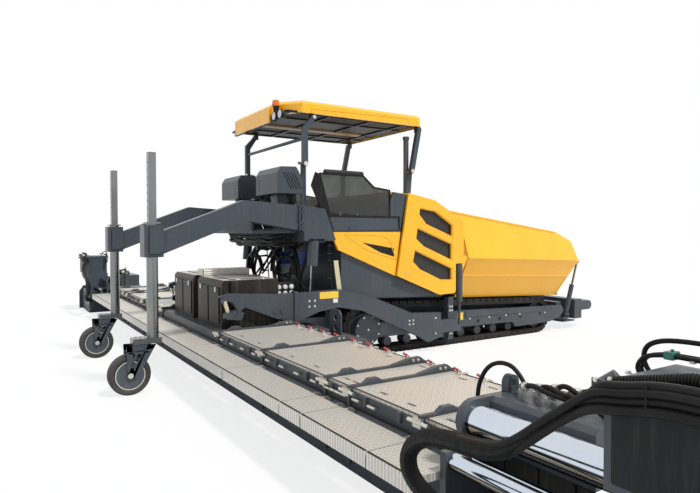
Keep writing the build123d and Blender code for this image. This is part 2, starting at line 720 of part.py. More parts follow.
# The end plate is cut round the upper tube; a box beam with a flat top runs on from it.
guide_end = extension_end + guide_plate
cover_top = tube_z + guide_lobe
cover_beam_end = guide_end + 750
lift_lug_x = -3190.0
guide_line = (
    (low_tube_x - 70, 280), (low_tube_x - 70, screed_top), (tube_x, screed_top), (tube_x, cover_top),
    (-2900, cover_top), (-2900, 280),
)
cover_beam_line = ((-3400, 640), (-3400, cover_top - 30), (-3370, cover_top), (-2900, cover_top), (-2900, 640))
end_bars = ((tube_x, tube_z, tube_r), (low_tube_x, low_tube_z, low_tube_r), (ram_x, ram_z, ram_r))
lug_places = [
    start + joint_bar + (end - start - joint_bar) * share - 15
    for start, end in zip(segment_joints, segment_joints[1:]) for share in (0.25, 0.75)
]
with BuildPart() as screed_extension:
    side_plate(section_line, (centre_half, extension_end))
    for joint in segment_joints:
        side_plate(joint_line, (joint, joint + joint_bar))
    for y in lug_places:
        block((deck_rear - 26, deck_rear), (y, y + 30), (600, screed_top))
    side_plate(guide_line, (extension_end, guide_end))
    across(tube_x, tube_z, (extension_end, guide_end), guide_lobe)
    side_plate(cover_beam_line, (guide_end, cover_beam_end))
    block((lift_lug_x - 55, lift_lug_x + 55), (extension_end, guide_end), (cover_top, cover_top + 55))
    across(lift_lug_x, cover_top + 55, (extension_end, guide_end), 55)
    across(lift_lug_x, cover_top + 55, (extension_end - 1, guide_end + 1), 28, Mode.SUBTRACT)
    for x, z, radius in end_bars:
        across(x, z, (extension_end - 1, guide_end + 1), radius + seat_gap, Mode.SUBTRACT)
keep_pair(screed_extension, "screed_extension")

with BuildPart() as screed_decks:
    for start, end in zip(segment_joints, segment_joints[1:] + (extension_end - 10,)):
        block(
            (deck_rear + 10, deck_front - 10), (start + joint_bar + 5, end - 5),
            (screed_top, screed_top + deck_thickness))
        for x in (deck_rear + 120, deck_front - 160):
            for share in (0.3, 0.7):
                y = start + joint_bar + (end - start - joint_bar) * share
                block((x, x + 32), (y - 55, y + 55), (screed_top - 1, screed_top + deck_thickness + 1), Mode.SUBTRACT)
    mirror(about=Plane.XZ)
keep(screed_decks, "screed_decks")

with BuildPart() as screed_walkways:
    for start, end in zip((0.0,) + segment_joints, segment_joints + (extension_end,)):
        block((walk_rear, walk_front), (start + 8, end - 8), (walk_top - walk_depth, walk_top))
        block((walk_rear, walk_rear + sheet), (start + 8, end - 8), (walk_top - walk_lip, walk_top - walk_depth))
        for y in (start + 60, end - 90):
            block((walk_front, deck_rear), (y, y + 30), (walk_top - walk_depth, walk_top))
    mirror(about=Plane.XZ)
keep(screed_walkways, "screed_walkways")

# A thick wrapped bundle of hoses hangs in an open loop behind the walkways, from a gland below the tray
# round to the foot.
hose_route = (            # x, distance from the end's inner face along Y, z
    (-3905, 313, 1330), (-3965, 215, 1245), (-4018, 118, 1158), (-4045, 7, 1055), (-4050, -114, 975),
    (-4050, -250, 942), (-4050, -390, 930), (-4050, -544, 909), (-4050, -660, 878), (-4050, -765, 815),
    (-4050, -825, 735), (-4050, -820, 650), (-4050, -755, 590), (-4050, -650, 555), (-4046, -520, 505),
    (-4040, -400, 450), (-4020, -290, 385), (-3975, -190, 350), (-3905, -100, 340), (-3870, -40, 340),
    (-3870, 0, 340),
)
hose_points = [Vector(x, end_inner + y, z) for x, y, z in hose_route]
hose_runs = [end - start for start, end in zip(hose_points, hose_points[1:])]
hose_arcs = []
for first, second in zip(hose_runs, hose_runs[1:]):
    half_turn = radians(first.get_angle(second)) / 2
    hose_arcs.append(0.45 * min(first.length, second.length) / tan(half_turn))
print("hose arcs", [round(arc) for arc in hose_arcs])
gland = hose_points[0]
gland_run = hose_runs[0].normalized()
with BuildPart() as hose_bundle:
    with BuildLine() as route:
        FilletPolyline(*hose_points, radius=hose_arcs)
    with BuildSketch(Plane(origin=gland, z_dir=gland_run)):
        Circle(hose_r)
    sweep(path=route.line)
keep_pair(hose_bundle, "hose_bundle")
hose_length = sum(edge.length for edge in route.edges())
print("hose length", round(hose_length), "from its volume", round(hose_bundle.part.volume / (pi * hose_r ** 2)))

gate_inner = end_inner + end_foot
gate_line = ((-4000, 0), (-4000, 450), (-3900, 600), (-2500, 600), (-2400, 500), (-2400, 0))
gate_rib = ((-3900, 120), (-3900, 330), (-2500, 330), (-2500, 120))
wall_y = end_inner + wall_set_back
tray_x = (walk_rear, walk_rear + tray_depth)
tray_y = (wall_y, wall_y + tray_width)
tray_z = (960.0, 1400.0)
hose_shelf = (57.0, 80.0) # step along the box's rear edge, where the hoses lie
tray_line = (
    (tray_x[0], tray_z[0]), (tray_x[0], tray_z[1] - hose_shelf[1]),
    (tray_x[0] + hose_shelf[0], tray_z[1] - hose_shelf[1]), (tray_x[0] + hose_shelf[0], tray_z[1]),
    (tray_x[1], tray_z[1]), (tray_x[1], tray_z[0]),
)
lid = (hose_shelf[0] - 10, 8)
bracket_line = (          # Y and Z from the box's inner upper edge
    (-53, -84), (-53, 6), (84, 0), (84, -50), (131, -50), (131, -78),
)
with BuildPart() as screed_end:
    block((-3920, -3420), (end_inner, gate_inner), (0, foot_top))
    block((-3900, -3420), (wall_y, wall_y + 60), (foot_top, tray_z[0]))
    block((-3860, -3480), (tray_y[1] - 120, tray_y[1] - 60), (foot_top, tray_z[0]))
    side_plate(gate_line, (gate_inner, gate_inner + gate_plate))
    side_plate(gate_rib, (gate_inner + gate_plate, gate_inner + gate_plate + 30))
    side_plate(tray_line, tray_y)
    block((tray_x[0] + lid[0], tray_x[1] + 10), (tray_y[0] - lid[1], tray_y[1] + lid[1]), (tray_z[1] - 14, tray_z[1]))
    cross_plate([(wall_y + y, tray_z[1] + z) for y, z in bracket_line], (tray_x[0] - 8, tray_x[0]))
    bar(gland - gland_run * 85, gland, hose_r + 12)
keep_pair(screed_end, "screed_end")
with BuildPart() as end_tubes:
    for x, z, radius in end_bars:
        across(x, z, (extension_end + 5, wall_y), radius)
keep_pair(end_tubes, "end_tubes")

# ---------------------------------------------------------------- lift cylinders
lift_top = Vector(-1996, level_y, 1960)
lift_eye = Vector(-2064, level_y, 1040)
lift_run = (lift_top - lift_eye).normalized()
with BuildPart() as lift_barrels:
    bar(lift_top - lift_run * 450, lift_top - lift_run * 80, 80)
    bar(lift_top - lift_run * 90, lift_top, 34)
    across(lift_top.X, lift_top.Z, (level_y - 30, level_y + 30), 50)
    bar(lift_top - lift_run * 460, lift_top - lift_run * 120, 22.5 + pin_gap, Mode.SUBTRACT)
    across(lift_top.X, lift_top.Z, (level_y - 36, level_y + 36), 20 + pin_gap, Mode.SUBTRACT)
    mirror(about=Plane.XZ)
keep(lift_barrels, "lift_barrels")
with BuildPart() as lift_rods:
    bar(lift_eye, lift_eye + lift_run * 540, 22.5)
    across(lift_eye.X, lift_eye.Z, (level_y - 22, level_y + 22), 40)
    mirror(about=Plane.XZ)
keep(lift_rods, "lift_rods")

# ---------------------------------------------------------------- support arms, legs and casters
support_line = (
    (-4203, 1731), (-4203, 2023), (-3114, 2442), (-2203, 2387), (-1859, 2350), (-1671, 1889),
    (-1700, 1880), (-2203, 1880), (-2203, 2020), (-3101, 2167),
)
with BuildPart() as support_arms:
    side_plate(support_line, (support_inner, support_outer))
    block((-2130, -1860), (level_y - 40, level_y + 40), (1850, 2060), Mode.SUBTRACT)
    block((-2130, -1860), (level_y - 90, level_y + 90), (1850, 1905), Mode.SUBTRACT)
    across(lift_top.X, lift_top.Z, (support_inner, support_outer), 20)
    for x in (-2296, -2252):
        side_plate(((x, 2035), (x, 2405), (x + 28, 2405), (x + 28, 2035)), (support_inner - 22, support_outer + 22))
    for y in (leg_y - 150, leg_y + 120):
        side_plate(
            ((-4203, 1780), (-4203, 1980), (leg_x + 40, 2060), (leg_x - 60, 2060), (leg_x - 60, 1740), (leg_x + 40, 1740)),
            (y, y + 30))
    block((leg_x - 120, -4203), (leg_y - 120, leg_y + 120), (collar_bottom, collar_top))
    upright(leg_x, leg_y, (collar_bottom - 10, collar_top + 10), leg_r + seat_gap, Mode.SUBTRACT)
    mirror(about=Plane.XZ)
    block((-2100, -1750), (-support_inner, support_inner), (beam_under, floor_bottom))
keep(support_arms, "support_arms")

axle_x = swivel_x - caster_trail
with BuildPart() as support_leg:
    upright(leg_x, leg_y, (660, 2115), leg_r)
    block(
        (leg_x - leg_square / 2, leg_x + leg_square / 2), (leg_y - leg_square / 2, leg_y + leg_square / 2),
        (2115, leg_top))
    block((leg_x - 85, leg_x + 85), (leg_y - 85, leg_y + 85), (2115, 2135))
    for number in range(8):
        z = 2215 + number * 95
        bar((leg_x - leg_square, leg_y, z), (leg_x + leg_square, leg_y, z), 14, Mode.SUBTRACT)
    block((swivel_x - 90, leg_x + 90), (leg_y - 90, leg_y + 90), (620, 690))
    upright(swivel_x, leg_y, (600, 700), king_pin_r + pin_gap, Mode.SUBTRACT)
keep_pair(support_leg, "support_leg")

cheek_y = caster_width / 2 + run_gap
cheek_line = ((swivel_x - 60, 535), (swivel_x + 60, 535), (axle_x + 40, caster_r - 40), (axle_x - 40, caster_r - 40))
cheek_window = ((swivel_x - 35, 505), (swivel_x + 20, 505), (axle_x + 45, caster_r + 95), (axle_x + 5, caster_r + 95))
with BuildPart() as caster_fork:
    upright(swivel_x, leg_y, (525, 620 - seat_gap), 60)
    upright(swivel_x, leg_y, (525, 690), king_pin_r)
    across(axle_x, caster_r, (leg_y - cheek_y - fork_plate, leg_y + cheek_y + fork_plate), caster_axle_r)
    block((axle_x - 20, swivel_x + 90), (leg_y - cheek_y - fork_plate, leg_y + cheek_y + fork_plate), (515, 535))
    for y in (leg_y - cheek_y - fork_plate, leg_y + cheek_y):
        side_plate(cheek_line, (y, y + fork_plate))
        side_plate(cheek_window, (y - 1, y + fork_plate + 1), Mode.SUBTRACT)
        across(axle_x, caster_r, (y, y + fork_plate), 52)
keep_pair(caster_fork, "caster_fork")
half_width = caster_width / 2
wheel_half = (            # distance from the wheel's middle, radius
    (-half_width, caster_axle_r + pin_gap), (-half_width, 62), (-38, 80), (-38, 148), (-66, 160), (-66, 178),
    (-half_width, 196), (-half_width, 226), (-54, caster_r),
)
wheel_line = wheel_half + tuple((-out, radius) for out, radius in reversed(wheel_half))
wheel_plane = Plane(origin=(axle_x, leg_y, caster_r), x_dir=(0, 1, 0), z_dir=(1, 0, 0))
with BuildPart() as caster_wheel:
    revolve(outline(wheel_plane, wheel_line), axis=Axis((axle_x, leg_y, caster_r), (0, 1, 0)))
keep_pair(caster_wheel, "caster_wheel")

# ---------------------------------------------------------------- canopy
rear_head = (rear_post_x + post_lean, post_pivot_z + post_rise)
front_head = (front_post_x + post_lean, post_pivot_z + post_rise)
roof_crown = 45.0
roof_recess = 70.0
roof_line = (
    (roof_rear, -780), (roof_rear, 780), (roof_rear + 300, roof_half), (roof_front, roof_half),
    (roof_front, -roof_half), (roof_rear + 300, -roof_half),
)
roof_hollow = (
    (roof_rear + 60, -750), (roof_rear + 60, 750), (roof_rear + 330, roof_half - 60),
    (roof_front - 60, roof_half - 60), (roof_front - 60, 60 - roof_half), (roof_rear + 330, 60 - roof_half),
)
with BuildPart() as canopy_roof:
    flat_plate(roof_line, (roof_bottom, roof_top))
    fillet(canopy_roof.edges().filter_by(Axis.Z).group_by(Axis.X)[-1], 120)
    chamfer(canopy_roof.faces().sort_by(Axis.Z)[-1].edges(), roof_crown)
    flat_plate(roof_hollow, (roof_bottom - 1, roof_bottom + roof_recess), Mode.SUBTRACT)
    for x in (-1650, -900, -250):
        block((x, x + 90), (-roof_half + 60, roof_half - 60), (roof_bottom + 25, roof_bottom + roof_recess))
    block((roof_rear - 30, roof_rear), (-690, 690), (3664, 3885))
    for x in (rear_head[0], front_head[0]):
        for y in (-stub_outer, stub_inner):
            block((x - 40, x + 40), (y, y + stub_plate), (roof_bottom - 90, roof_bottom + roof_recess))
    for y in (-post_outer, stub_inner):
        across(rear_head[0], rear_head[1], (y, y + post_outer - stub_inner), post_pin_r)
keep(canopy_roof, "canopy_roof")

rear_post_line = (
    (rear_post_x - post_half, post_pivot_z), (rear_post_x - post_half, rear_head[1] - 160),
    (rear_head[0] - post_half, rear_head[1]), (rear_head[0] + post_half, rear_head[1]),
    (rear_post_x + post_half, rear_head[1] - 220), (rear_post_x + post_half, post_pivot_z),
)
front_post_line = (
    (front_post_x - post_half, post_pivot_z), (front_head[0] - post_half, front_head[1]),
    (front_head[0] + post_half, front_head[1]), (front_post_x + post_half, post_pivot_z),
)
with BuildPart() as canopy_posts_rear:
    side_plate(rear_post_line, (post_inner, post_outer))
    across(rear_post_x, post_pivot_z, (post_inner, post_outer), post_half)
    across(rear_head[0], rear_head[1], (post_inner, post_outer), post_half)
    across(rear_post_x, post_pivot_z, (post_inner - 1, post_outer + 1), post_pin_r + pin_gap, Mode.SUBTRACT)
    across(rear_head[0], rear_head[1], (post_inner - 1, post_outer + 1), post_pin_r + pin_gap, Mode.SUBTRACT)
    mirror(about=Plane.XZ)
    across(rear_post_x, 3400, (-post_inner, post_inner), 25)
keep(canopy_posts_rear, "canopy_posts_rear")
with BuildPart() as canopy_posts_front:
    side_plate(front_post_line, (post_inner, post_outer))
    across(front_post_x, post_pivot_z, (post_inner, post_outer), post_half)
    across(front_head[0], front_head[1], (post_inner, post_outer), post_half)
    across(front_post_x, post_pivot_z, (post_inner - 1, post_outer + 1), post_pin_r + pin_gap, Mode.SUBTRACT)
    mirror(about=Plane.XZ)
keep(canopy_posts_front, "canopy_posts_front")

# ---------------------------------------------------------------- operator stations
pod_rear = -2537.0
pod_line = (
    (pod_rear, 2570), (pod_rear, 2868), (pod_rear + 57, 2956), (-2235, 2965), (-2190, 2900), (-2130, 2770),
    (-2130, 2570),
)
pod_side = 1150.0
louver_pitch = 43.0
louver_width = 17.0
louver_lean = 130.0
louver_depth = 15.0
with BuildPart() as operator_pod:
    side_plate(pod_line, (380, pod_side))
    for number in range(5):
        x = pod_rear + 81 + number * louver_pitch
        side_plate(
            ((x, 2872), (x + louver_width, 2872), (x + louver_width + louver_lean, 2640), (x + louver_lean, 2640)),
            (pod_side - louver_depth, pod_side + 1), Mode.SUBTRACT)
    for z in (2640, 2690, 2740, 2790):
        bar((pod_rear - 1, 512, z), (pod_rear + louver_depth, 512, z), 14, Mode.SUBTRACT)
    block((-2400, -2250), (700, 850), (floor_top + 30, 2570))
    block((-2500, -1600), (300, 880), (floor_top + seat_gap, floor_top + 30))
keep_pair(operator_pod, "operator_pod")
with BuildPart() as seat:
    block((-2050, -1580), (250, 700), (2330, 2450))
    side_plate(((-2060, 2450), (-2120, 2980), (-2010, 2980), (-1930, 2450)), (270, 680))
    block((-1950, -1700), (380, 570), (floor_top + 30, 2330))
keep_pair(seat, "seat")

# ---------------------------------------------------------------- rear of the tractor
with BuildPart() as generator:
    across(-1830, 1600, (-480, 60), 160)
    across(-1830, 1600, (-498, 100), 125)
    block((-1900, -1760), (-300, -120), (1700, 1790))
    for y in (-460, -20):
        block((-1900, -1760), (y, y + 60), (1650, beam_under))
keep(generator, "generator")

with BuildPart() as auger_frame:
    block((auger_x - 100, auger_x + 100), (-auger_end, auger_end), (560, 620))
    for y in (-frame_half, frame_half - 40):
        block((auger_x + 100, frame_rear), (y, y + 40), (480, 640))
    block((auger_x - 60, auger_x + 60), (-60, 60), (auger_z - 60, 560))
    for y in (auger_end - 30, -auger_end):
        block((auger_x - 60, auger_x + 60), (y, y + 30), (auger_z - 60, 560))
        across(auger_x, auger_z, (y - 1, y + 31), auger_pin_r + pin_gap, Mode.SUBTRACT)
    across(auger_x, auger_z, (-61, 61), auger_pin_r + pin_gap, Mode.SUBTRACT)
    for y in (1860, -2160):
        cross_plate(
            ((y, 620), (y, 900), (y + 60, 960), (y + 240, 960), (y + 300, 900), (y + 300, 620)),
            (auger_x - 60, auger_x - 40))
        for z in (710, 850):
            bar((auger_x - 61, y + 150, z), (auger_x - 39, y + 150, z), 45, Mode.SUBTRACT)
keep(auger_frame, "auger_frame")

flight_start = 120.0
flight_turns = 9
with BuildPart() as auger:
    with BuildLine() as coil:
        Helix(
            auger_pitch, auger_pitch * flight_turns, (auger_r + 36) / 2, center=(auger_x, flight_start, auger_z),
            direction=(0, 1, 0))
    rim = coil.line @ 0
    outward = rim - Vector(auger_x, flight_start, auger_z)
    with BuildSketch(Plane(origin=rim, x_dir=outward, z_dir=coil.line % 0)) as flight:
        Rectangle(auger_r - 36, sheet)
    sweep(flight.sketch, path=coil.line, is_frenet=True)
    across(auger_x, auger_z, (60 + run_gap, auger_end - 30 - run_gap), 40)
    for y in ((20, 60 + run_gap), (auger_end - 30 - run_gap, auger_end - 5)):
        across(auger_x, auger_z, y, auger_pin_r)
keep_pair(auger, "auger")
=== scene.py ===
# %% [markdown]
# # Dressing an asphalt paver
#
# The solids of this machine were drawn in a CAD program and come in as a fixed frame. Blender gives them
# their paint, glass, rubber and chrome, and adds what is too fine for the solids: tread plate, perforated
# screens, clamps, hoses, bolts and lamps. Everything is in metres, with +X forward to the hopper, +Y to the
# machine's left and +Z up, and each added piece rides on one of the machine's moving bodies.

# %% Load the frame
import json
from math import cos, pi, radians, sin
import bmesh
import bpy
from mathutils import Matrix, Vector


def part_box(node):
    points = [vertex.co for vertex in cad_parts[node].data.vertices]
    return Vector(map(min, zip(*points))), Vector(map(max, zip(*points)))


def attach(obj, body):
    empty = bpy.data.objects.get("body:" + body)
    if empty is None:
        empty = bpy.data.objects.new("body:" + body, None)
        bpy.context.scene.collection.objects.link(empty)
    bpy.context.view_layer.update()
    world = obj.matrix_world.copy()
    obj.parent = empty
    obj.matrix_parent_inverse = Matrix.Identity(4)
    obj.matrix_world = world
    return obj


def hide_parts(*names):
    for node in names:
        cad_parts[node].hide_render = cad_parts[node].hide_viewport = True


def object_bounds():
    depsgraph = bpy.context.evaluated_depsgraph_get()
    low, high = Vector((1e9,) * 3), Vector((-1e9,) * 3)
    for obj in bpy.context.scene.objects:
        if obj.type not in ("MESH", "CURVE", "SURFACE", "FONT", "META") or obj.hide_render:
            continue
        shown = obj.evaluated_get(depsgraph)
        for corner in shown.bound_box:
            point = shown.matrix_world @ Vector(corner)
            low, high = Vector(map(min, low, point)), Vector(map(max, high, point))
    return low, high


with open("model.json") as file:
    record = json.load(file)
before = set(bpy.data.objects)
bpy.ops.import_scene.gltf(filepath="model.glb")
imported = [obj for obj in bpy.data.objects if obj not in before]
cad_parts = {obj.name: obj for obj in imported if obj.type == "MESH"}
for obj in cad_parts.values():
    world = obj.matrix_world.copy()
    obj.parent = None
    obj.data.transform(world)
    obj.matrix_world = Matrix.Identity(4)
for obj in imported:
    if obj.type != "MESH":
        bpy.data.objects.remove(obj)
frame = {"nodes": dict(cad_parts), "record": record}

cad_box = [list(corner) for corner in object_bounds()]
nodes = frame["nodes"]
sides = ((1, "left"), (-1, "right"))


def new_object(name, data):
    """A new object of the scene, made of a mesh, curve, light or camera."""
    made = bpy.data.objects.new(name, data)
    bpy.context.scene.collection.objects.link(made)
    return made


# %% [markdown]
# ## Camera
#
# The camera stands at a person's eye height behind the right-hand sliding end of the screed and looks
# forward along the machine. A lens near 30 mm on a 36 mm sensor takes in the whole width of the screed.
# The direction is built from a heading and a small nod, which is easier to read than three Euler angles.

# %% Camera
camera_data = bpy.data.cameras.new("camera")
camera_data.sensor_width = 36.0
camera_data.lens = 29.664
camera_data.clip_start = 0.05
camera_data.clip_end = 500
camera = new_object("camera", camera_data)
camera_place = Vector((-6.077, -8.720, 2.000))
heading = radians(32.22)
nod = radians(1.384)
lean = radians(-0.076)
forward = Vector((sin(heading) * cos(nod), cos(heading) * cos(nod), -sin(nod)))
level_right = Vector((cos(heading), -sin(heading), 0))
level_up = level_right.cross(forward)
right = cos(lean) * level_right + sin(lean) * level_up
up = cos(lean) * level_up - sin(lean) * level_right
turn = Matrix((right, up, -forward)).transposed().to_4x4()
camera.matrix_world = Matrix.Translation(camera_place) @ turn
bpy.context.scene.camera = camera
print("lens", round(camera_data.lens, 2), "mm at", tuple(camera_place))

# %% [markdown]
# ## Helpers for shader nodes
#
# Shader trees are built in words: each helper adds one node, in the tree that its operands belong to, and
# gives back a socket for the next step. An operand is another node's socket or a plain value.

# %% Node helpers


def fill(node, inputs):
    """Gives a node's inputs, by name or number, a source or a plain value each."""
    for key, value in dict(inputs).items():
        if isinstance(value, bpy.types.NodeSocket):
            node.id_data.links.new(value, node.inputs[key])
        else:
            node.inputs[key].default_value = value


def add_node(tree, kind, inputs=(), **settings):
    """A shader node with its own settings and its inputs filled."""
    node = tree.nodes.new("ShaderNode" + kind)
    for name, value in settings.items():
        setattr(node, name, value)
    fill(node, inputs)
    return node


def tree_of(*values):
    """The node tree of the first socket among some values."""
    return next(value.id_data for value in values if isinstance(value, bpy.types.NodeSocket))


def math(operation, *operands, clamp=False):
    """A Math node's result; each operand is a socket or a number."""
    tree = tree_of(*operands)
    return add_node(tree, "Math", enumerate(operands), operation=operation, use_clamp=clamp).outputs[0]


def noise(place, scale, detail=3.0, roughness=0.55):
    """A noise texture's value at a place."""
    inputs = {"Vector": place, "Scale": scale, "Detail": detail, "Roughness": roughness}
    return add_node(place.id_data, "TexNoise", inputs).outputs[0]


def spread(value, low, high):
    """Stretches a value so that low becomes 0 and high becomes 1, clamped."""
    return add_node(value.id_data, "MapRange", {"Value": value, "From Min": low, "From Max": high}).outputs[0]


def blend_colors(share, first, second, mode="MIX"):
    """Mixes two colours by a share."""
    tree = tree_of(share, first, second)
    inputs = {0: share, 6: first, 7: second}
    return add_node(tree, "Mix", inputs, data_type="RGBA", blend_type=mode).outputs[2]


def axes(vector):
    """A vector's components, as sockets named X, Y and Z."""
    return add_node(vector.id_data, "SeparateXYZ", {0: vector}).outputs


def object_place(tree):
    """The shaded point in its object's own coordinates."""
    return add_node(tree, "TexCoord").outputs["Object"]


def surface_normal(tree):
    """The shaded point's normal."""
    return add_node(tree, "NewGeometry").outputs["Normal"]


def new_group(name, inputs, outputs):
    """An empty shader node group; each input and output has a default, which is a tuple for a colour."""
    group = bpy.data.node_groups.new(name, "ShaderNodeTree")
    for way, sockets in (("INPUT", inputs), ("OUTPUT", outputs)):
        for title, value in sockets.items():
            kind = "NodeSocketColor" if isinstance(value, tuple) else "NodeSocketFloat"
            group.interface.new_socket(title, in_out=way, socket_type=kind).default_value = value
    return group, group.nodes.new("NodeGroupInput").outputs, group.nodes.new("NodeGroupOutput")


def new_material(name):
    """A material with its node tree and its Principled shader."""
    material = bpy.data.materials.new(name)
    material.use_nodes = True
    return material, material.node_tree, material.node_tree.nodes["Principled BSDF"]


print("node helpers ready")

# %% [markdown]
# ## Floor, sky and lamps
#
# The machine is shown on plain white. The world is white to the camera and to reflections, and a softer
# grey for the light it gives. The floor does the same with a Light Path node: the camera sees mostly white,
# but part of its diffuse shading stays, so the machine keeps a soft shadow under it.

# %% World and floor
bpy.context.scene.view_settings.view_transform = "Standard"
world = bpy.data.worlds.new("studio")
bpy.context.scene.world = world
world.use_nodes = True
sky = world.node_tree
sky.nodes.clear()
rays = add_node(sky, "LightPath").outputs
mirrored = math("MAXIMUM", rays["Is Glossy Ray"], rays["Is Transmission Ray"])
seen = math("MAXIMUM", rays["Is Camera Ray"], mirrored)
sky_light = add_node(sky, "Background", {"Color": (0.86, 0.93, 1.0, 1), "Strength": 0.50})
sky_white = add_node(sky, "Background", {"Color": (1, 1, 1, 1), "Strength": 1.0})
sky_mix = add_node(sky, "MixShader", {0: seen, 1: sky_light.outputs[0], 2: sky_white.outputs[0]})
add_node(sky, "OutputWorld", {"Surface": sky_mix.outputs[0]})

floor_mesh = bpy.data.meshes.new("studio_floor")
floor_half = 120.0
floor_corners = [(x * floor_half, y * floor_half, 0) for x, y in ((-1, -1), (1, -1), (1, 1), (-1, 1))]
floor_mesh.from_pydata(floor_corners, [], [(0, 1, 2, 3)])
floor = new_object("studio_floor", floor_mesh)
floor.location.z = cad_box[0][2] - 0.001
floor_paint, ground = new_material("studio_floor")[:2]
ground.nodes.clear()
white_share = math("MULTIPLY", add_node(ground, "LightPath").outputs["Is Camera Ray"], 0.8)
shaded = add_node(ground, "BsdfDiffuse", {"Color": (0.8, 0.8, 0.8, 1)})
plain = add_node(ground, "Emission", {"Color": (1, 1, 1, 1)})
floor_mix = add_node(ground, "MixShader", {0: white_share, 1: shaded.outputs[0], 2: plain.outputs[0]})
add_node(ground, "OutputMaterial", {"Surface": floor_mix.outputs[0]})
floor_mesh.materials.append(floor_paint)
print("floor at", round(floor.location.z, 4))

# %% [markdown]
# The light is a high, hazy sun on the machine's right-hand side, a little ahead of it, so upper faces and the
# right flank are lit while faces turned to the rear stay in shade. A wide disc gives soft-edged shadows,
# and a weak second lamp opens up the shaded side.

# %% Lamps
for name, strength, disc, toward, color in (
        ("key_sun", 2.9, 7, (-0.22, 0.50, -0.84), (1.0, 0.975, 0.93)),
        ("soft_fill", 0.35, 60, (0.5, 0.4, -0.5), (0.92, 0.96, 1.0))):
    light = bpy.data.lights.new(name, "SUN")
    light.energy = strength
    light.angle = radians(disc)
    light.color = color
    new_object(name, light).rotation_euler = Vector(toward).to_track_quat("-Z", "Y").to_euler()
print("two suns")

# %% [markdown]
# ## Node groups shared by the finishes
#
# Paint, steel and rubber on a site machine age in the same way: colour drifts a little over a large panel,
# dust settles low down and on faces that look up, and rain draws faint streaks. One group does this for
# every finish. It works in the machine's own coordinates, so one speck of dust stays on its panel when the
# panel moves. Height above the ground and the upward part of the normal decide where dust lies.

# %% Weathering group
dust_color = (0.36, 0.31, 0.25)
grey = (0.5, 0.5, 0.5, 1)
weather, taken, given = new_group(
    "weathering",
    {"Clean": grey, "Faded": grey, "Dust": grey, "Dust Amount": 0.3, "Streaks": 0.3, "Gloss": 0.35,
     "Matt": 0.7},
    {"Color": grey, "Roughness": 0.5, "Height": 0.0})
place = object_place(weather)
drawn_out = add_node(weather, "Mapping", {"Vector": place, "Scale": (9.0, 9.0, 0.8)}).outputs[0]
broad = noise(place, 1.7, 4.0)
speckle = noise(place, 42.0, 6.0, 0.7)
streak = spread(noise(drawn_out, 3.0, 4.0, 0.6), 0.5, 0.72)
low_down = math("SUBTRACT", 1.0, math("DIVIDE", axes(place)["Z"], 2.6), clamp=True)
upward = math("MAXIMUM", axes(surface_normal(weather))["Z"], 0.0)
settle = math("ADD", math("MULTIPLY", low_down, 0.55), math("MULTIPLY", upward, 0.5))
patches = spread(math("ADD", broad, math("MULTIPLY", speckle, 0.45)), 0.48, 0.95)
dusty = math("MULTIPLY", math("MULTIPLY", settle, patches), taken["Dust Amount"], clamp=True)
aged = blend_colors(spread(broad, 0.3, 0.75), taken["Clean"], taken["Faded"])
rain = math("MULTIPLY", math("MULTIPLY", streak, 0.35), taken["Streaks"], clamp=True)
streaked = blend_colors(rain, aged, taken["Dust"])
sheen = math("ADD", math("MULTIPLY", spread(speckle, 0.3, 0.8), 0.35), dusty)
shine_range = math("SUBTRACT", taken["Matt"], taken["Gloss"])
fill(given, {
    "Color": blend_colors(dusty, streaked, taken["Dust"]), "Height": speckle,
    "Roughness": math("MULTIPLY_ADD", math("MINIMUM", sheen, 1.0), shine_range, taken["Gloss"])})
print("weathering:", len(weather.nodes), "nodes")

# %% [markdown]
# Tread plate is rolled with raised lozenges that lean left and right in turn. The group finds which square
# cell of a grid a point is in, turns the cell's own coordinates one way or the other by the cell's parity,
# and draws an ellipse. It gives a mask and a rounded height, for any sheet that lies along two of the axes.

# %% Tread plate group
tread, taken, given = new_group(
    "tread_plate", {"Along": 0.0, "Across": 0.0, "Pitch": 0.034}, {"Mask": 0.0, "Height": 0.0})
half_diagonal = 0.7071
lozenge = (0.5, 0.14)         # half length and half width, in cells
cell_along = math("DIVIDE", taken["Along"], taken["Pitch"])
cell_across = math("DIVIDE", taken["Across"], taken["Pitch"])
count = math("ADD", math("FLOOR", cell_along), math("FLOOR", cell_across))
parity = math("ABSOLUTE", math("MODULO", count, 2.0))
local_along = math("SUBTRACT", math("FRACT", cell_along), 0.5)
local_across = math("SUBTRACT", math("FRACT", cell_across), 0.5)
swung = math("MULTIPLY", local_across, math("MULTIPLY_ADD", parity, 2.0, -1.0))
major = math("MULTIPLY", math("ADD", local_along, swung), half_diagonal)
minor = math("MULTIPLY", math("SUBTRACT", local_along, swung), half_diagonal)
squares = [math("POWER", math("DIVIDE", offset, size), 2.0) for offset, size in zip((major, minor), lozenge)]
oval = math("ADD", *squares)
fill(given, {
    "Height": math("SUBTRACT", 1.0, oval, clamp=True),
    "Mask": spread(math("SUBTRACT", 1.0, oval), -0.15, 0.25)})
print("tread plate:", len(tread.nodes), "nodes")

# %% [markdown]
# ## Finishes
#
# A finish is a Principled shader fed by the weathering group. A small table gives each paint its colours
# and amounts; the gloss, metal and coat values that are the same all over are set on the shader itself.

# %% Painted and plain finishes
finishes = {}


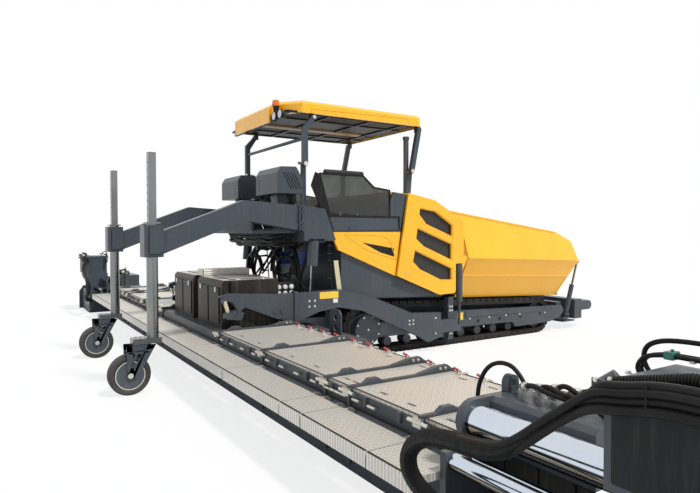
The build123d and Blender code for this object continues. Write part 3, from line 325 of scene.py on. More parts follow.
def finish(name, clean, faded, dust_amount, streaks, gloss, matt, metal=0.0, coat=0.0,
           grain=0.15, grain_depth=0.001, dust=dust_color):
    """Adds a weathered finish; returns its tree, its shader, the weathering node and the bump."""
    material, tree, shader = new_material(name)
    amounts = {
        "Clean": (*clean, 1), "Faded": (*faded, 1), "Dust": (*dust, 1), "Dust Amount": dust_amount,
        "Streaks": streaks, "Gloss": gloss, "Matt": matt}
    aged = add_node(tree, "Group", amounts, node_tree=weather)
    relief = {"Strength": grain, "Distance": grain_depth, "Height": aged.outputs["Height"]}
    bump = add_node(tree, "Bump", relief)
    fill(shader, {
        "Metallic": metal, "Coat Weight": coat, "Coat Roughness": 0.12, "Base Color": aged.outputs["Color"],
        "Roughness": aged.outputs["Roughness"], "Normal": bump.outputs["Normal"]})
    finishes[name] = material
    return tree, shader, aged, bump


finish_table = (
    # name, clean, faded, dust, streaks, gloss, matt, metal, coat
    ("yellow_paint", (0.93, 0.44, 0.004), (0.97, 0.49, 0.008), 0.05, 0.05, 0.22, 0.5, 0.0, 0.35),
    ("graphite_paint", (0.044, 0.056, 0.071), (0.054, 0.066, 0.082), 0.13, 0.15, 0.30, 0.62, 0.0, 0.05),
    ("black_steel", (0.012, 0.012, 0.013), (0.020, 0.020, 0.020), 0.12, 0.12, 0.38, 0.7, 0.1, 0.0),
    ("engine_grey", (0.10, 0.105, 0.11), (0.15, 0.15, 0.15), 0.3, 0.4, 0.4, 0.75, 0.3, 0.0),
    ("exhaust_steel", (0.060, 0.064, 0.070), (0.10, 0.095, 0.09), 0.25, 0.5, 0.35, 0.7, 0.5, 0.0),
    ("roller_steel", (0.16, 0.16, 0.16), (0.26, 0.24, 0.22), 0.5, 0.3, 0.35, 0.7, 0.7, 0.0),
    # The grey-brown panel's colours are darkened, partly as painted shade on the boxes' shaded faces.
    ("grey_brown_panel", (0.018, 0.017, 0.015), (0.028, 0.025, 0.021), 0.08, 0.3, 0.30, 0.55),
    ("wheel_rubber", (0.022, 0.023, 0.025), (0.045, 0.046, 0.048), 0.22, 0.1, 0.55, 0.85),
    ("seat_vinyl", (0.020, 0.020, 0.022), (0.032, 0.032, 0.034), 0.2, 0.1, 0.4, 0.6),
    ("motor_blue", (0.006, 0.050, 0.30), (0.012, 0.07, 0.36), 0.10, 0.1, 0.3, 0.55, 0.0, 0.3),
    ("auger_steel", (0.09, 0.09, 0.095), (0.16, 0.145, 0.13), 0.6, 0.4, 0.35, 0.75, 0.6, 0.0),
    ("red_plastic", (0.42, 0.010, 0.014), (0.52, 0.03, 0.03), 0.15, 0.0, 0.3, 0.5, 0.0, 0.2),
    ("zinc", (0.62, 0.62, 0.60), (0.75, 0.72, 0.62), 0.15, 0.2, 0.25, 0.45, 0.9, 0.0),
    ("cream_zinc", (0.62, 0.56, 0.36), (0.70, 0.65, 0.48), 0.2, 0.2, 0.3, 0.5, 0.5, 0.0),
    ("black_rubber", (0.010, 0.010, 0.011), (0.017, 0.017, 0.018), 0.08, 0.0, 0.34, 0.6),
    ("anthracite_paint", (0.010, 0.012, 0.014), (0.015, 0.018, 0.021), 0.10, 0.15, 0.35, 0.6),
    ("white_label", (0.80, 0.80, 0.78), (0.70, 0.70, 0.68), 0.15, 0.1, 0.3, 0.5, 0.0, 0.1),
    ("yellow_label", (0.90, 0.60, 0.03), (0.85, 0.55, 0.03), 0.15, 0.1, 0.3, 0.5, 0.0, 0.1),
    # The beige lining's colours are darkened to near black as painted shade on the shadowed ceiling.
    ("beige_lining", (0.036, 0.034, 0.030), (0.050, 0.047, 0.042), 0.02, 0.1, 0.5, 0.8),
    ("brown_beam", (0.30, 0.16, 0.05), (0.36, 0.20, 0.07), 0.1, 0.1, 0.4, 0.6),
    ("green_plastic", (0.01, 0.16, 0.11), (0.02, 0.20, 0.14), 0.2, 0.0, 0.3, 0.5),
)
dull = {                      # specular levels below the usual 0.5
    "black_rubber": 0.10, "wheel_rubber": 0.10, "black_steel": 0.10, "seat_vinyl": 0.16,
    "anthracite_paint": 0.12, "grey_brown_panel": 0.10, "beige_lining": 0.10, "graphite_paint": 0.28,
}
for name, *amounts in finish_table:
    shader = finish(name, *amounts)[1]
    if name in dull:
        fill(shader, {"Specular IOR Level": dull[name]})
print(len(finishes), "weathered finishes")

# %% [markdown]
# Chrome on the cylinder rods and the guide tubes is a true metal with a light film of dust and long, fine
# polishing marks; the marks are a noise squeezed along the bar's own length. The site's reflection is painted
# into the base colour by the normal's height: a light blue base as a painted sky reflection above, a dark
# painted horizon line, and a painted reflection of brown ground that fades to near black below.

# %% Chrome


def chrome_finish(name, clean, faded, squeeze, gloss, matt):
    """A polished metal whose marks run along the axis with the small squeeze value."""
    tree, shader, aged, bump = finish(name, clean, faded, 0.22, 0.05, gloss, matt, 1.0, 0.0, 0.05)
    marks = add_node(tree, "Mapping", {"Vector": object_place(tree), "Scale": squeeze}).outputs[0]
    fill(bump, {"Height": noise(marks, 20.0, 4.0)})
    return tree, shader, aged


# The light blue clean colour of the chrome is a painted sky reflection.
tree, shader, aged = chrome_finish("chrome", (0.56, 0.64, 0.75), (0.70, 0.76, 0.84), (8, 1, 8), 0.08, 0.26)
# Painted reflection by the normal's height: a dark painted horizon line, then brown ground fading to near
# black below.
height = axes(surface_normal(tree))["Z"]
painted_horizon_line = math("MULTIPLY", spread(height, 0.10, 0.02), spread(height, -0.16, -0.08))
painted_ground_reflection = blend_colors(spread(height, -0.10, -0.60), (0.42, 0.36, 0.29, 1), (0.03, 0.03, 0.04, 1))
painted_sky_and_ground_reflection = blend_colors(spread(height, 0.06, -0.06), aged.outputs["Color"], painted_ground_reflection)
fill(shader, {"Base Color": blend_colors(painted_horizon_line, painted_sky_and_ground_reflection, (0.02, 0.02, 0.025, 1))})
chrome_finish("leg_steel", (0.19, 0.20, 0.21), (0.28, 0.28, 0.28), (8, 8, 1), 0.22, 0.5)
print("chrome and leg steel")

# %% [markdown]
# The decks and steps are aluminium tread plate: the lozenges are worn bright and the hollows between them
# hold dust and asphalt stains. The mask of the tread group mixes the two, and its height goes to the bump.

# %% Aluminium tread plate
for name, along, across in (("aluminium_plate", "X", "Y"), ("upright_tread", "Y", "Z")):
    tree, shader, aged, bump = finish(
        name, (0.78, 0.75, 0.70), (0.88, 0.85, 0.80), 0.42, 0.0, 0.32, 0.6, 0.35, 0.0, 0.8, 0.004,
        (0.55, 0.42, 0.30))
    spot = axes(object_place(tree))
    grid = {"Along": spot[along], "Across": spot[across], "Pitch": 0.036}
    cells = add_node(tree, "Group", node_tree=tread)
    fill(cells, grid)
    worn = blend_colors(cells.outputs["Mask"], (0.42, 0.39, 0.35, 1), (0.95, 0.94, 0.91, 1))
    tinted = blend_colors(0.75, aged.outputs["Color"], worn, "MULTIPLY")
    lifted = add_node(tree, "Gamma", {"Color": tinted, "Gamma": 0.72})
    fill(shader, {"Base Color": lifted.outputs[0]})
    fill(bump, {"Height": cells.outputs["Height"]})
print("tread plate finishes")

# %% [markdown]
# The wrapped hose bundles wear a woven nylon sleeve that wrinkles on the inside of each bend. Coarse noise
# folds the surface and a fine weave breaks the highlight. The doors carry a screen of perforated sheet
# behind their louvers, drawn as a grid of round dark holes.

# %% Woven sleeve and perforated sheet
tree, shader, aged, bump = finish(
    "hose_sleeve", (0.008, 0.008, 0.009), (0.014, 0.014, 0.015), 0.04, 0.0, 0.42, 0.75, 0.0, 0.0, 1.0, 0.05)
folds = noise(object_place(tree), 13.0, 3.0, 0.5)
weave = add_node(tree, "TexWave", {"Scale": 90.0, "Distortion": 3.0}).outputs["Fac"]
fill(bump, {"Height": math("ADD", folds, math("MULTIPLY", weave, 0.06))})
fill(shader, {"Specular IOR Level": 0.16})

tree, shader, aged, bump = finish(
    "perforated_sheet", (0.045, 0.044, 0.040), (0.065, 0.062, 0.057), 0.15, 0.1, 0.4, 0.7, 0.3, 0.0, 0.6,
    0.002)
spot = axes(object_place(tree))
hole_pitch = 0.024
rows = [math("SINE", math("MULTIPLY", spot[axis], 2 * pi / hole_pitch)) for axis in ("X", "Z")]
hole = spread(math("MULTIPLY", *rows), -0.12, 0.12)
fill(shader, {"Base Color": blend_colors(hole, aged.outputs["Color"], (0.004, 0.004, 0.004, 1))})
fill(bump, {"Height": math("SUBTRACT", 1.0, hole)})
print("sleeve and perforated sheet")

# %% [markdown]
# The side windows are dark tinted panes that still let the station behind show faintly. Glass keeps a plain
# transmission and takes only dust in its roughness and tint.

# %% Glass and lamps
for name, color, roughness, transmission in (
        ("window_glass", (0.085, 0.09, 0.082), 0.08, 0.75), ("amber_lens", (0.95, 0.22, 0.01), 0.25, 0.45),
        ("lamp_lens", (0.85, 0.86, 0.88), 0.2, 0.4)):
    finishes[name], tree, shader = new_material(name)
    film = noise(object_place(tree), 6.0, 5.0)
    dusted = (*[min(1.0, part * 1.25 + 0.02) for part in color], 1)
    fill(shader, {
        "Base Color": blend_colors(spread(film, 0.35, 0.8), (*color, 1), dusted),
        "Roughness": math("MULTIPLY_ADD", film, roughness, roughness / 2),
        "Transmission Weight": transmission, "IOR": 1.45})
print("glass finishes")

# %% [markdown]
# ## Finishes on the solids
#
# Every solid carries the name of a finish in the record. Its object gets that finish as its only material;
# the solids themselves stay exactly as they are.

# %% Give each solid its finish
slot_of = {piece["node"]: piece["material_slot"] for piece in frame["record"]["subparts"]}
for name, solid in nodes.items():
    solid.data.materials.clear()
    solid.data.materials.append(finishes[slot_of[name]])
print("finished", len(slot_of), "solids with", len(set(slot_of.values())), "finishes")

# %% [markdown]
# ## A small kit for fittings
#
# Bolts, brackets, clamps and hoses come in dozens. Each kind is drawn many times into one mesh, and the
# mesh becomes a single piece that rides on its body. Edges sharper than 35 degrees stay crisp, and a fine
# bevel on the larger plates catches the light as a rolled edge does. Most fittings sit on both sides of
# the machine, so they are drawn once, on the left, and mirrored to the right.

# %% Shapes


def moved(spot, x=0.0, y=0.0, z=0.0):
    """A point moved along the axes."""
    return Vector(spot) + Vector((x, y, z))


def spaced(start, end, count):
    """Evenly spaced stations between two ends, with half a step at each end."""
    return [start + (end - start) * (number + 0.5) / count for number in range(count)]


def ring(radius):
    """Eight evenly spaced points on a circle, for the bolts of a flange."""
    angles = [(number + 0.5) * pi / 4 for number in range(8)]
    return [(radius * cos(angle), radius * sin(angle)) for angle in angles]


def add_block(mesh, low, high):
    """A box between two corners."""
    low, high = Vector(low), Vector(high)
    cube = bmesh.ops.create_cube(mesh, size=1.0)
    size = Matrix.Diagonal((*(abs(value) for value in high - low), 1.0))
    bmesh.ops.transform(mesh, matrix=Matrix.Translation((low + high) / 2) @ size, verts=cube["verts"])
    return mesh


def add_rod(mesh, start, end, radius, facets=16, tip=None):
    """A round bar from one point to another, or a cone with a tip radius."""
    start, end = Vector(start), Vector(end)
    run = end - start
    cone = bmesh.ops.create_cone(
        mesh, cap_ends=True, segments=facets, radius1=radius, radius2=radius if tip is None else tip,
        depth=run.length)
    aim = run.to_track_quat("Z", "Y").to_matrix().to_4x4()
    bmesh.ops.transform(mesh, matrix=Matrix.Translation((start + end) / 2) @ aim, verts=cone["verts"])
    return mesh


def add_peg(mesh, spot, length, radius, facets):
    """A round bar that runs outward, along Y."""
    return add_rod(mesh, spot, moved(spot, y=length), radius, facets)


def add_bolt(mesh, spot, facing, radius):
    """A washer and a hexagon head standing on a face."""
    spot, facing = Vector(spot), Vector(facing).normalized()
    add_rod(mesh, spot, spot + facing * radius * 0.3, radius * 1.3, 12)
    add_rod(mesh, spot + facing * radius * 0.3, spot + facing * radius, radius, 6)


def add_bolts(mesh, y, radius, *spots):
    """Bolts on an upright face at y that looks outward, at spots in x and z."""
    for x, z in spots:
        add_bolt(mesh, (x, y, z), (0, 1, 0), radius)
    return mesh


def add_plate(mesh, corners, push):
    """A flat plate with the given corners, thickened by a vector."""
    face = mesh.faces.new([mesh.verts.new(corner) for corner in corners])
    grown = bmesh.ops.extrude_face_region(mesh, geom=[face])
    raised = [item for item in grown["geom"] if isinstance(item, bmesh.types.BMVert)]
    bmesh.ops.translate(mesh, vec=Vector(push), verts=raised)
    return mesh


def add_sheet(mesh, y, thickness, *outline):
    """An upright plate at y, from its outline in x and z, thickened along Y."""
    return add_plate(mesh, [(x, y, z) for x, z in outline], (0, thickness, 0))


def add_rim(mesh, y, radius, facets, *outline):
    """A bar that follows an outline in x and z all the way round, at y."""
    for (x, z), (next_x, next_z) in zip(outline, outline[1:] + outline[:1]):
        add_rod(mesh, (x, y, z), (next_x, y, next_z), radius, facets)
    return mesh


print("shapes ready")


def fit(name, mesh, coat, body, bevel=0.0):
    """Makes a piece of a mesh, with a finish, that rides on a body."""
    bmesh.ops.recalc_face_normals(mesh, faces=mesh.faces)
    data = bpy.data.meshes.new(name)
    mesh.to_mesh(data)
    mesh.free()
    data.materials.append(finishes[coat])
    data.shade_smooth()
    data.set_sharp_from_angle(angle=radians(35))
    piece = new_object(name, data)
    if bevel:
        edge = piece.modifiers.new("edge", "BEVEL")
        edge.width = bevel
        edge.segments = 2
        edge.limit_method = "ANGLE"
    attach(piece, body)
    return piece


def both(name, mesh, coat, body, bevel=0.0):
    """Makes the left piece of a mesh, and the right one of its mirror image; {side} in body is filled in."""
    twin = mesh.copy()
    bmesh.ops.scale(twin, vec=(1, -1, 1), verts=twin.verts)
    return [fit(f"{name}_{side}", shape, coat, body.format(side=side), bevel)
            for shape, (hand, side) in zip((mesh, twin), sides)]


def tube(name, points, radii, coat, body, roundness=3, steps=6):
    """A hose, cable or bent tube as a smooth curve led by its points, with a radius at each."""
    line = bpy.data.curves.new(name, "CURVE")
    line.dimensions = "3D"
    line.bevel_depth = 1.0        # so each knot's radius is the tube's own, in metres
    line.bevel_resolution = roundness
    line.resolution_u = steps
    line.use_fill_caps = True
    run = line.splines.new("NURBS")
    run.points.add(len(points) - 1)
    for knot, point, radius in zip(run.points, points, radii):
        knot.co = (*point, 1)
        knot.radius = radius
    run.order_u = 3
    run.use_endpoint_u = True
    line.materials.append(finishes[coat])
    piece = new_object(name, line)
    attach(piece, body)
    return piece


def hoses(name, points, radius, body):
    """A rubber hose, on the left and mirrored on the right."""
    for hand, side in sides:
        route = [(x, hand * y, z) for x, y, z in points]
        tube(f"{name}_{side}", route, [radius] * len(route), "black_rubber", body.format(side=side))


print("kit ready")

# %% [markdown]
# ## The hose bundles
#
# Oil, power and signal lines of each sliding end are wrapped in one fabric sleeve that hangs in an open
# loop behind the walkway, so the end can run in and out. A stiff bundle keeps wide bends, so a NURBS
# curve through a few guide points is enough, and the sleeve's wrinkles are left to its finish. Its upper
# end tapers where the sleeve stops and the hoses inside run on.

# %% Hose bundles
foot_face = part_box("screed_end_left")[0].y
bundle_route = (          # x, distance outward from the foot's inner face, z
    (-3.905, 0.313, 1.330), (-3.965, 0.215, 1.245), (-4.018, 0.118, 1.158), (-4.045, 0.007, 1.055),
    (-4.050, -0.114, 0.975), (-4.050, -0.250, 0.942), (-4.050, -0.390, 0.930), (-4.050, -0.544, 0.909),
    (-4.050, -0.660, 0.878), (-4.050, -0.765, 0.815), (-4.050, -0.825, 0.735), (-4.050, -0.820, 0.650),
    (-4.050, -0.755, 0.590), (-4.050, -0.650, 0.555), (-4.046, -0.520, 0.505), (-4.040, -0.400, 0.450),
    (-4.020, -0.290, 0.385), (-3.975, -0.190, 0.350), (-3.905, -0.100, 0.340), (-3.870, -0.040, 0.340),
    (-3.870, 0.000, 0.340),
)
tapered = (0.0225, 0.0225, 0.025, 0.0325, 0.0475)
radii = tapered + (0.05,) * (len(bundle_route) - len(tapered))
for hand, side in sides:
    route = [(x, hand * (foot_face + out), z) for x, out, z in bundle_route]
    sleeve = tube(f"hose_sleeve_{side}", route, radii, "hose_sleeve", f"screed_end_{side}", 5, 10)
    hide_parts(f"hose_bundle_{side}")
print("two bundles with", len(bundle_route), "guide points each")

# %% [markdown]
# ## Screed fittings
#
# The deck panels of a wide screed are held down by toggle clamps in a row along the front edge: a zinc
# base with a claw and a red handle. At each joint between two screed modules a stiff bracket straddles
# the joint bar in front and behind. All of them are laid out from the module lengths.

# %% Toggle clamps and joint brackets
deck_low, deck_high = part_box("screed_decks")
joints = (1.400, 2.831, 4.232, 4.632, 5.575)
deck_ends = joints[1:] + (deck_high.y,)
bar_width = 0.040
bar_top = deck_high.z + 0.020
bracket_width = bar_width + 0.012
clamp_pitch = 0.34
front_bracket = ((-0.42, 0.0), (-0.20, 0.044), (-0.07, 0.050), (0.0, 0.0))
rear_bracket = ((0.0, 0.0), (0.05, 0.036), (0.14, 0.036), (0.20, 0.0))
zinc_work, handles, brackets = [bmesh.new() for number in range(3)]
for start, end in zip(joints, deck_ends):
    for y in spaced(start + bar_width, end, max(1, round((end - start) / clamp_pitch))):
        spot = Vector((deck_high.x - 0.045, y, deck_high.z))
        add_block(zinc_work, moved(spot, -0.030, -0.028), moved(spot, 0.034, 0.028, 0.014))
        for shift in (-0.016, 0.016):
            knee = moved(spot, 0.0, shift, 0.012)
            add_rod(zinc_work, knee, moved(spot, 0.072, shift, 0.006), 0.005, 8)
            add_rod(zinc_work, moved(knee, -0.012), moved(knee, z=0.028), 0.007, 8)
        add_peg(zinc_work, moved(spot, 0.072, -0.026, 0.004), 0.052, 0.009, 8)
        grip = moved(spot, 0, -0.030, 0.034)
        add_rod(handles, moved(spot, z=0.030), grip, 0.008, 8)
        add_rod(handles, grip, moved(grip, -0.012, -0.050, 0.016), 0.014, 12, 0.011)
    y = start + bar_width / 2
    for edge_x, outline in ((deck_high.x, front_bracket), (deck_low.x + 0.12, rear_bracket)):
        outline = [(edge_x + x, bar_top + z) for x, z in outline]
        add_sheet(brackets, y - bracket_width / 2, bracket_width, *outline)
    for x in (-0.16, -0.10):
        for way in (1, -1):
            spot = (deck_high.x + x, y + way * bracket_width / 2, bar_top + 0.022)
            add_bolt(zinc_work, spot, (0, way, 0), 0.011)
    add_block(zinc_work, (deck_low.x - 0.060, y - 0.045, 0.640), (deck_low.x - 0.032, y + 0.045, 0.705))
    add_peg(zinc_work, (deck_low.x - 0.046, y - 0.11, 0.672), 0.22, 0.016, 12)
both("deck_clamps", zinc_work, "zinc", "screed")
both("clamp_handles", handles, "red_plastic", "screed")
both("joint_brackets", brackets, "graphite_paint", "screed", 0.003)
print("clamps on", len(joints), "deck panels a side")

# %% [markdown]
# Between the decks and the walkways runs a dark gap with a line of hinge pins. They end where the chrome
# tubes of a drawn-in sliding end pass. The panels also have folded rims: a narrow strip along their front
# and rear edges.

# %% Rims and pins of the decks
walk_low, walk_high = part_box("screed_walkways")
tubes_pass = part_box("end_tubes_left")[0].y - 0.86
pin_z = 0.628
rims, pins = bmesh.new(), bmesh.new()
for start, end in zip(joints, deck_ends):
    for x in (deck_low.x + 0.004, deck_high.x - 0.016):
        near = (x, start + bar_width + 0.006, deck_high.z - 0.001)
        add_block(rims, near, (x + 0.012, end - 0.006, deck_high.z + 0.006))
    for y in spaced(start + bar_width, end, 4):
        if y < tubes_pass:
            add_peg(pins, (deck_low.x - 0.040, y - 0.05, pin_z), 0.10, 0.012, 10)
for start, end in zip((0.0,) + joints, joints + (deck_high.y,)):
    for x in (walk_low.x + 0.006, walk_high.x - 0.016):
        near = (x, start + 0.012, walk_high.z - 0.001)
        add_block(rims, near, (x + 0.010, end - 0.012, walk_high.z + 0.008))
both("deck_rims", rims, "grey_brown_panel", "screed")
both("hinge_pins", pins, "zinc", "screed")
print("rims and pins")

# %% [markdown]
# ## Sliding ends
#
# The hoses of each end lie on a step along the rear edge of its control box: one corrugated conduit and
# a few smooth hoses, tied together. A seam and bolts mark the box's panels. Three more hoses arch over
# the box's lid, two of them held by a green saddle clamp.

# %% Hoses and fittings of the sliding ends
box_low, box_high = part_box("screed_end_left")
box_rear = box_low.x + 0.023
box_inner = foot_face + 0.36
sliding_end = "screed_end_{side}"


def at(x, y, z):
    """A point on the left end's box, from its rear face, its inner face and its lid."""
    return Vector((box_rear + x, box_inner + y, box_high.z + z))


conduit = bmesh.new()
rings = 62
shares = [number / rings for number in range(rings + 1)]
lie = [at(0.030 + 0.045 * min(1.0, share * 3), share * 0.75, -0.046 + 0.072 * min(1.0, share * 2.4))
       for share in shares]
for start, end in zip(lie, lie[1:]):
    groove = start.lerp(end, 0.6)
    add_rod(conduit, start, groove, 0.030, 18)
    add_rod(conduit, groove, end, 0.025, 18)
both("conduit", conduit, "black_rubber", sliding_end)
lines = (                 # x and z on the box, sideways and upward shift in the sleeve, radius
    (-0.006, -0.088, 0.018, 0.022, 0.019), (-0.022, -0.052, -0.022, 0.030, 0.018),
    (-0.026, -0.122, -0.012, -0.020, 0.020), (-0.012, -0.026, 0.026, -0.006, 0.017),
)
for number, (x, z, aside, above, radius) in enumerate(lines):
    mouth = [(route_x + aside, foot_face + out, route_z + above)
             for route_x, out, route_z in reversed(bundle_route[1:7])]
    hoses(
        f"box_hose_{number}",
        mouth + [at(x - 0.012, -0.020, z - 0.016), at(x - 0.012, 0.10, z), at(x - 0.014, 0.22, z + 0.030),
                 at(x - 0.014, 0.36, z + 0.042), at(x - 0.010, 0.55, z + 0.036), at(x, 0.75, z + 0.030)],
        radius, sliding_end)
ties, guard, fasteners, saddle = [bmesh.new() for number in range(4)]
for y in (0.20, 0.42, 0.64):
    add_block(ties, at(-0.052, y, -0.105), at(-0.050, y + 0.006, 0.012))
both("cable_ties", ties, "anthracite_paint", sliding_end)
# A thin anthracite sheet over the lower part of the box's rear face is painted shade: that face lies in
# shadow.
sheet = add_block(bmesh.new(), at(-0.002, 0.040, -0.436), at(0.0, 0.764, -0.084))
both("box_rear_painted_shade_sheet", sheet, "anthracite_paint", sliding_end)
add_block(guard, (-3.400, 6.130, 0.030), (-3.392, 6.876, 0.642))
for y in (6.25, 6.50, 6.75):
    add_block(guard, (-3.412, y, 0.040), (-3.400, y + 0.012, 0.630))
both("beam_guard", guard, "black_steel", "screed")
for x, y in ((0.085, 0.05), (0.085, 0.20), (0.085, 0.38), (0.085, 0.58), (0.48, 0.10), (0.48, 0.60)):
    add_bolt(fasteners, at(x, y, 0), (0, 0, 1), 0.011)
for y, z in ((-0.035, -0.030), (0.115, -0.064), (0.03, -0.015)):
    add_bolt(fasteners, at(-0.008, y, z), (-1, 0, 0), 0.008)
both("box_bolts", fasteners, "zinc", sliding_end)
seam = add_block(bmesh.new(), at(-0.0012, 0.033, -0.43), at(0.002, 0.037, -0.085))
both("box_seam", seam, "black_steel", sliding_end)
hoses(
    "lid_arc",
    [at(0.50, -0.02, -0.16), at(0.51, -0.13, -0.08), at(0.52, -0.150, 0.02), at(0.52, -0.08, 0.070),
     at(0.52, 0.06, 0.085), at(0.52, 0.26, 0.080), at(0.50, 0.46, 0.04), at(0.48, 0.52, -0.01)],
    0.012, sliding_end)
for number, x in enumerate((0.505, 0.535)):
    hoses(
        f"clamped_hose_{number}",
        [at(x, -0.01, -0.20), at(x, -0.18, -0.11), at(x, -0.15, -0.015), at(x - 0.02, -0.04, 0.014),
         at(x - 0.02, 0.06, 0.016), at(x - 0.02, 0.22, 0.014), at(x - 0.03, 0.44, 0.012),
         at(x - 0.04, 0.70, 0.012)],
        0.011, sliding_end)
add_block(saddle, at(0.468, -0.024, -0.002), at(0.530, 0.020, 0.034))
add_rod(saddle, at(0.50, 0, 0.034), at(0.50, 0, 0.044), 0.007, 8)
both("saddle_clamp", saddle, "green_plastic", sliding_end, 0.004)
print("sliding ends dressed")

# %% [markdown]
# Quick couplings stand on the flat top of the fixed end's box beam, each a stepped steel barrel. A short
# hose bends over from each of them along the beam, and one arches down to the deck.

# %% Couplings on the fixed ends
beam_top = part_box("screed_extension_left")[1].z - 0.110
couplings = (             # x, y, direction of the barrel
    (-3.180, 6.200, (-0.6, 0.8, 0.25)), (-3.150, 6.290, (-0.6, 0.8, 0.3)),
    (-3.090, 6.350, (-0.5, 0.85, 0.35)), (-3.200, 6.420, (-0.3, 0.95, 0.2)),
    (-3.060, 6.470, (-0.3, 0.95, 0.3)),
)
barrels = bmesh.new()
for number, (x, y, aim) in enumerate(couplings):
    foot = Vector((x, y, beam_top + 0.048))
    aim = Vector(aim).normalized()
    add_rod(barrels, foot, foot + aim * 0.045, 0.026, 6)
    add_rod(barrels, foot + aim * 0.045, foot + aim * 0.085, 0.030, 18)
    add_rod(barrels, foot + aim * 0.085, foot + aim * 0.130, 0.021, 18)
    add_block(barrels, (x - 0.02, y - 0.02, beam_top), (x + 0.02, y + 0.02, beam_top + 0.030))
    hoses(
        f"coupling_hose_{number}",
        [foot + aim * 0.120, moved(foot + aim * 0.210, z=0.02), (x - 0.10, y + 0.30, beam_top + 0.075),
         (x - 0.02, 6.76, beam_top + 0.050), (x, 6.860, beam_top - 0.020)],
        0.016, "screed")
both("couplings", barrels, "zinc", "screed")
hoses(
    "coupling_arc",
    [(-3.190, 6.230, beam_top + 0.06), (-3.20, 6.170, beam_top + 0.16), (-3.22, 6.050, beam_top + 0.185),
     (-3.25, 5.960, beam_top + 0.14), (-3.27, 5.900, beam_top + 0.02), (-3.28, 5.895, beam_top - 0.12),
     (-3.28, 5.900, deck_high.z + 0.01)],
    0.015, "screed")
print(len(couplings), "couplings a side")

# %% [markdown]
# ## Canopy fittings
#
# The roof is a yellow moulding with a lined ceiling and a brown duct along it. The ceiling lies in shadow,
# so its lining is painted nearly black and its other panels black, as painted shade. An amber beacon and
# two round work lamps hang at the right rear corner, and a vent slot is let into each side.

# %% Canopy lining, lamps and beacon
roof = "canopy_roof"
rear_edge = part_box(roof)[0].x
ceiling = 3.770
pivot_x, pivot_z = -1.924, 3.720
lining, painted_shade_panels_and_frame, rails, lugs, pins, lenses, beacon = [bmesh.new() for number in range(7)]
# Painted shade: the lining panels take the beige lining darkened to near black, and the other panels are
# black.
for near, far in ((-2.28, -1.66), (-1.55, -0.91), (-0.80, -0.26), (-0.15, 0.07)):
    for panel, low, high in (
            (lining, -1.06, -0.64), (painted_shade_panels_and_frame, -0.56, 0.02), (lining, 0.28, 0.60), (painted_shade_panels_and_frame, 0.70, 1.06)):
        add_block(panel, (near, low, ceiling + 0.012), (far, high, ceiling + 0.020))
add_block(painted_shade_panels_and_frame, (-2.33, -1.085, ceiling + 0.022), (0.10, 1.085, ceiling + 0.026))
for y in (-1.09, 1.06):
    add_block(painted_shade_panels_and_frame, (-2.36, y, ceiling - 0.006), (0.12, y + 0.03, ceiling + 0.022))
for x in (-2.36, -1.63, -0.88, -0.23, 0.09):
    add_block(painted_shade_panels_and_frame, (x, -1.09, ceiling - 0.008), (x + 0.05, 1.09, ceiling + 0.022))
fit("ceiling_panels", lining, "beige_lining", roof, 0.004)
fit("ceiling_painted_shade_panels_and_frame", painted_shade_panels_and_frame, "black_steel", roof)
duct = add_block(bmesh.new(), (-2.22, 0.06, ceiling - 0.012), (-0.30, 0.24, ceiling + 0.024))
fit("ceiling_duct", duct, "brown_beam", roof, 0.008)
for y in (-1.09, -0.62, 0.62, 1.05):
    add_block(rails, (-2.10, y, ceiling - 0.006), (0.05, y + 0.05, ceiling + 0.024))
add_block(rails, (rear_edge + 0.031, -0.80, ceiling - 0.110), (rear_edge + 0.075, 0.80, ceiling))
add_block(rails, (rear_edge - 0.020, -0.84, ceiling - 0.020), (rear_edge + 0.16, -1.10, ceiling + 0.002))
vent = ((-1.98, 3.831), (-0.17, 3.868), (-0.17, 3.864), (-1.98, 3.827))
for hand, side in sides:
    add_sheet(rails, hand * 1.149, hand * 0.002, *vent)
    for x, top in ((-1.98, 3.830), (-0.17, 3.866)):
        add_block(rails, (x, hand * 1.149, ceiling), (x + 0.004, hand * 1.151, top))
    for x in (pivot_x, 0.080):
        add_block(lugs, (x - 0.041, hand * 1.0387, 3.6790), (x + 0.041, hand * 1.0698, ceiling + 0.02))
    add_peg(lugs, (pivot_x, hand * 1.0200, pivot_z), hand * 0.0195, 0.024, 20)
    add_bolt(pins, (pivot_x, hand * 1.1400, pivot_z), (0, hand, 0), 0.022)
for y in (-0.93, -1.13):
    lamp = Vector((rear_edge - 0.030, y, ceiling - 0.062))
    add_rod(rails, lamp, moved(lamp, 0.060), 0.064, 24, 0.045)
    add_rod(rails, moved(lamp, 0.03), moved(lamp, 0.03, 0, 0.08), 0.010, 8)
    add_rod(lenses, moved(lamp, -0.007), moved(lamp, -0.001), 0.050, 24, 0.057)
fit("canopy_black_work", rails, "black_steel", roof, 0.002)
fit("canopy_lugs", lugs, "graphite_paint", roof)
fit("canopy_pins", pins, "zinc", roof)
stand = Vector((rear_edge + 0.010, -0.920, ceiling))
for low, high, radius, tip in (
        (0.085, 0.100, 0.060, 0.060), (0.100, 0.168, 0.058, 0.050), (0.168, 0.179, 0.050, 0.036)):
    add_rod(beacon, moved(stand, z=low), moved(stand, z=high), radius, 28, tip)
fit("lamp_lenses", lenses, "lamp_lens", roof)
fit("beacon", beacon, "amber_lens", roof)
fit("beacon_stand", add_rod(bmesh.new(), stand, moved(stand, z=0.085), 0.034, 20, 0.048), "black_steel", roof)
print("canopy dressed")

# %% [markdown]
# ## Operator's side
#
# Each side window has a dark frame with a padded roll on top. A wide black strut slopes down behind it
# from the canopy post to the belt panel. Zinc pins end the posts' pivots.

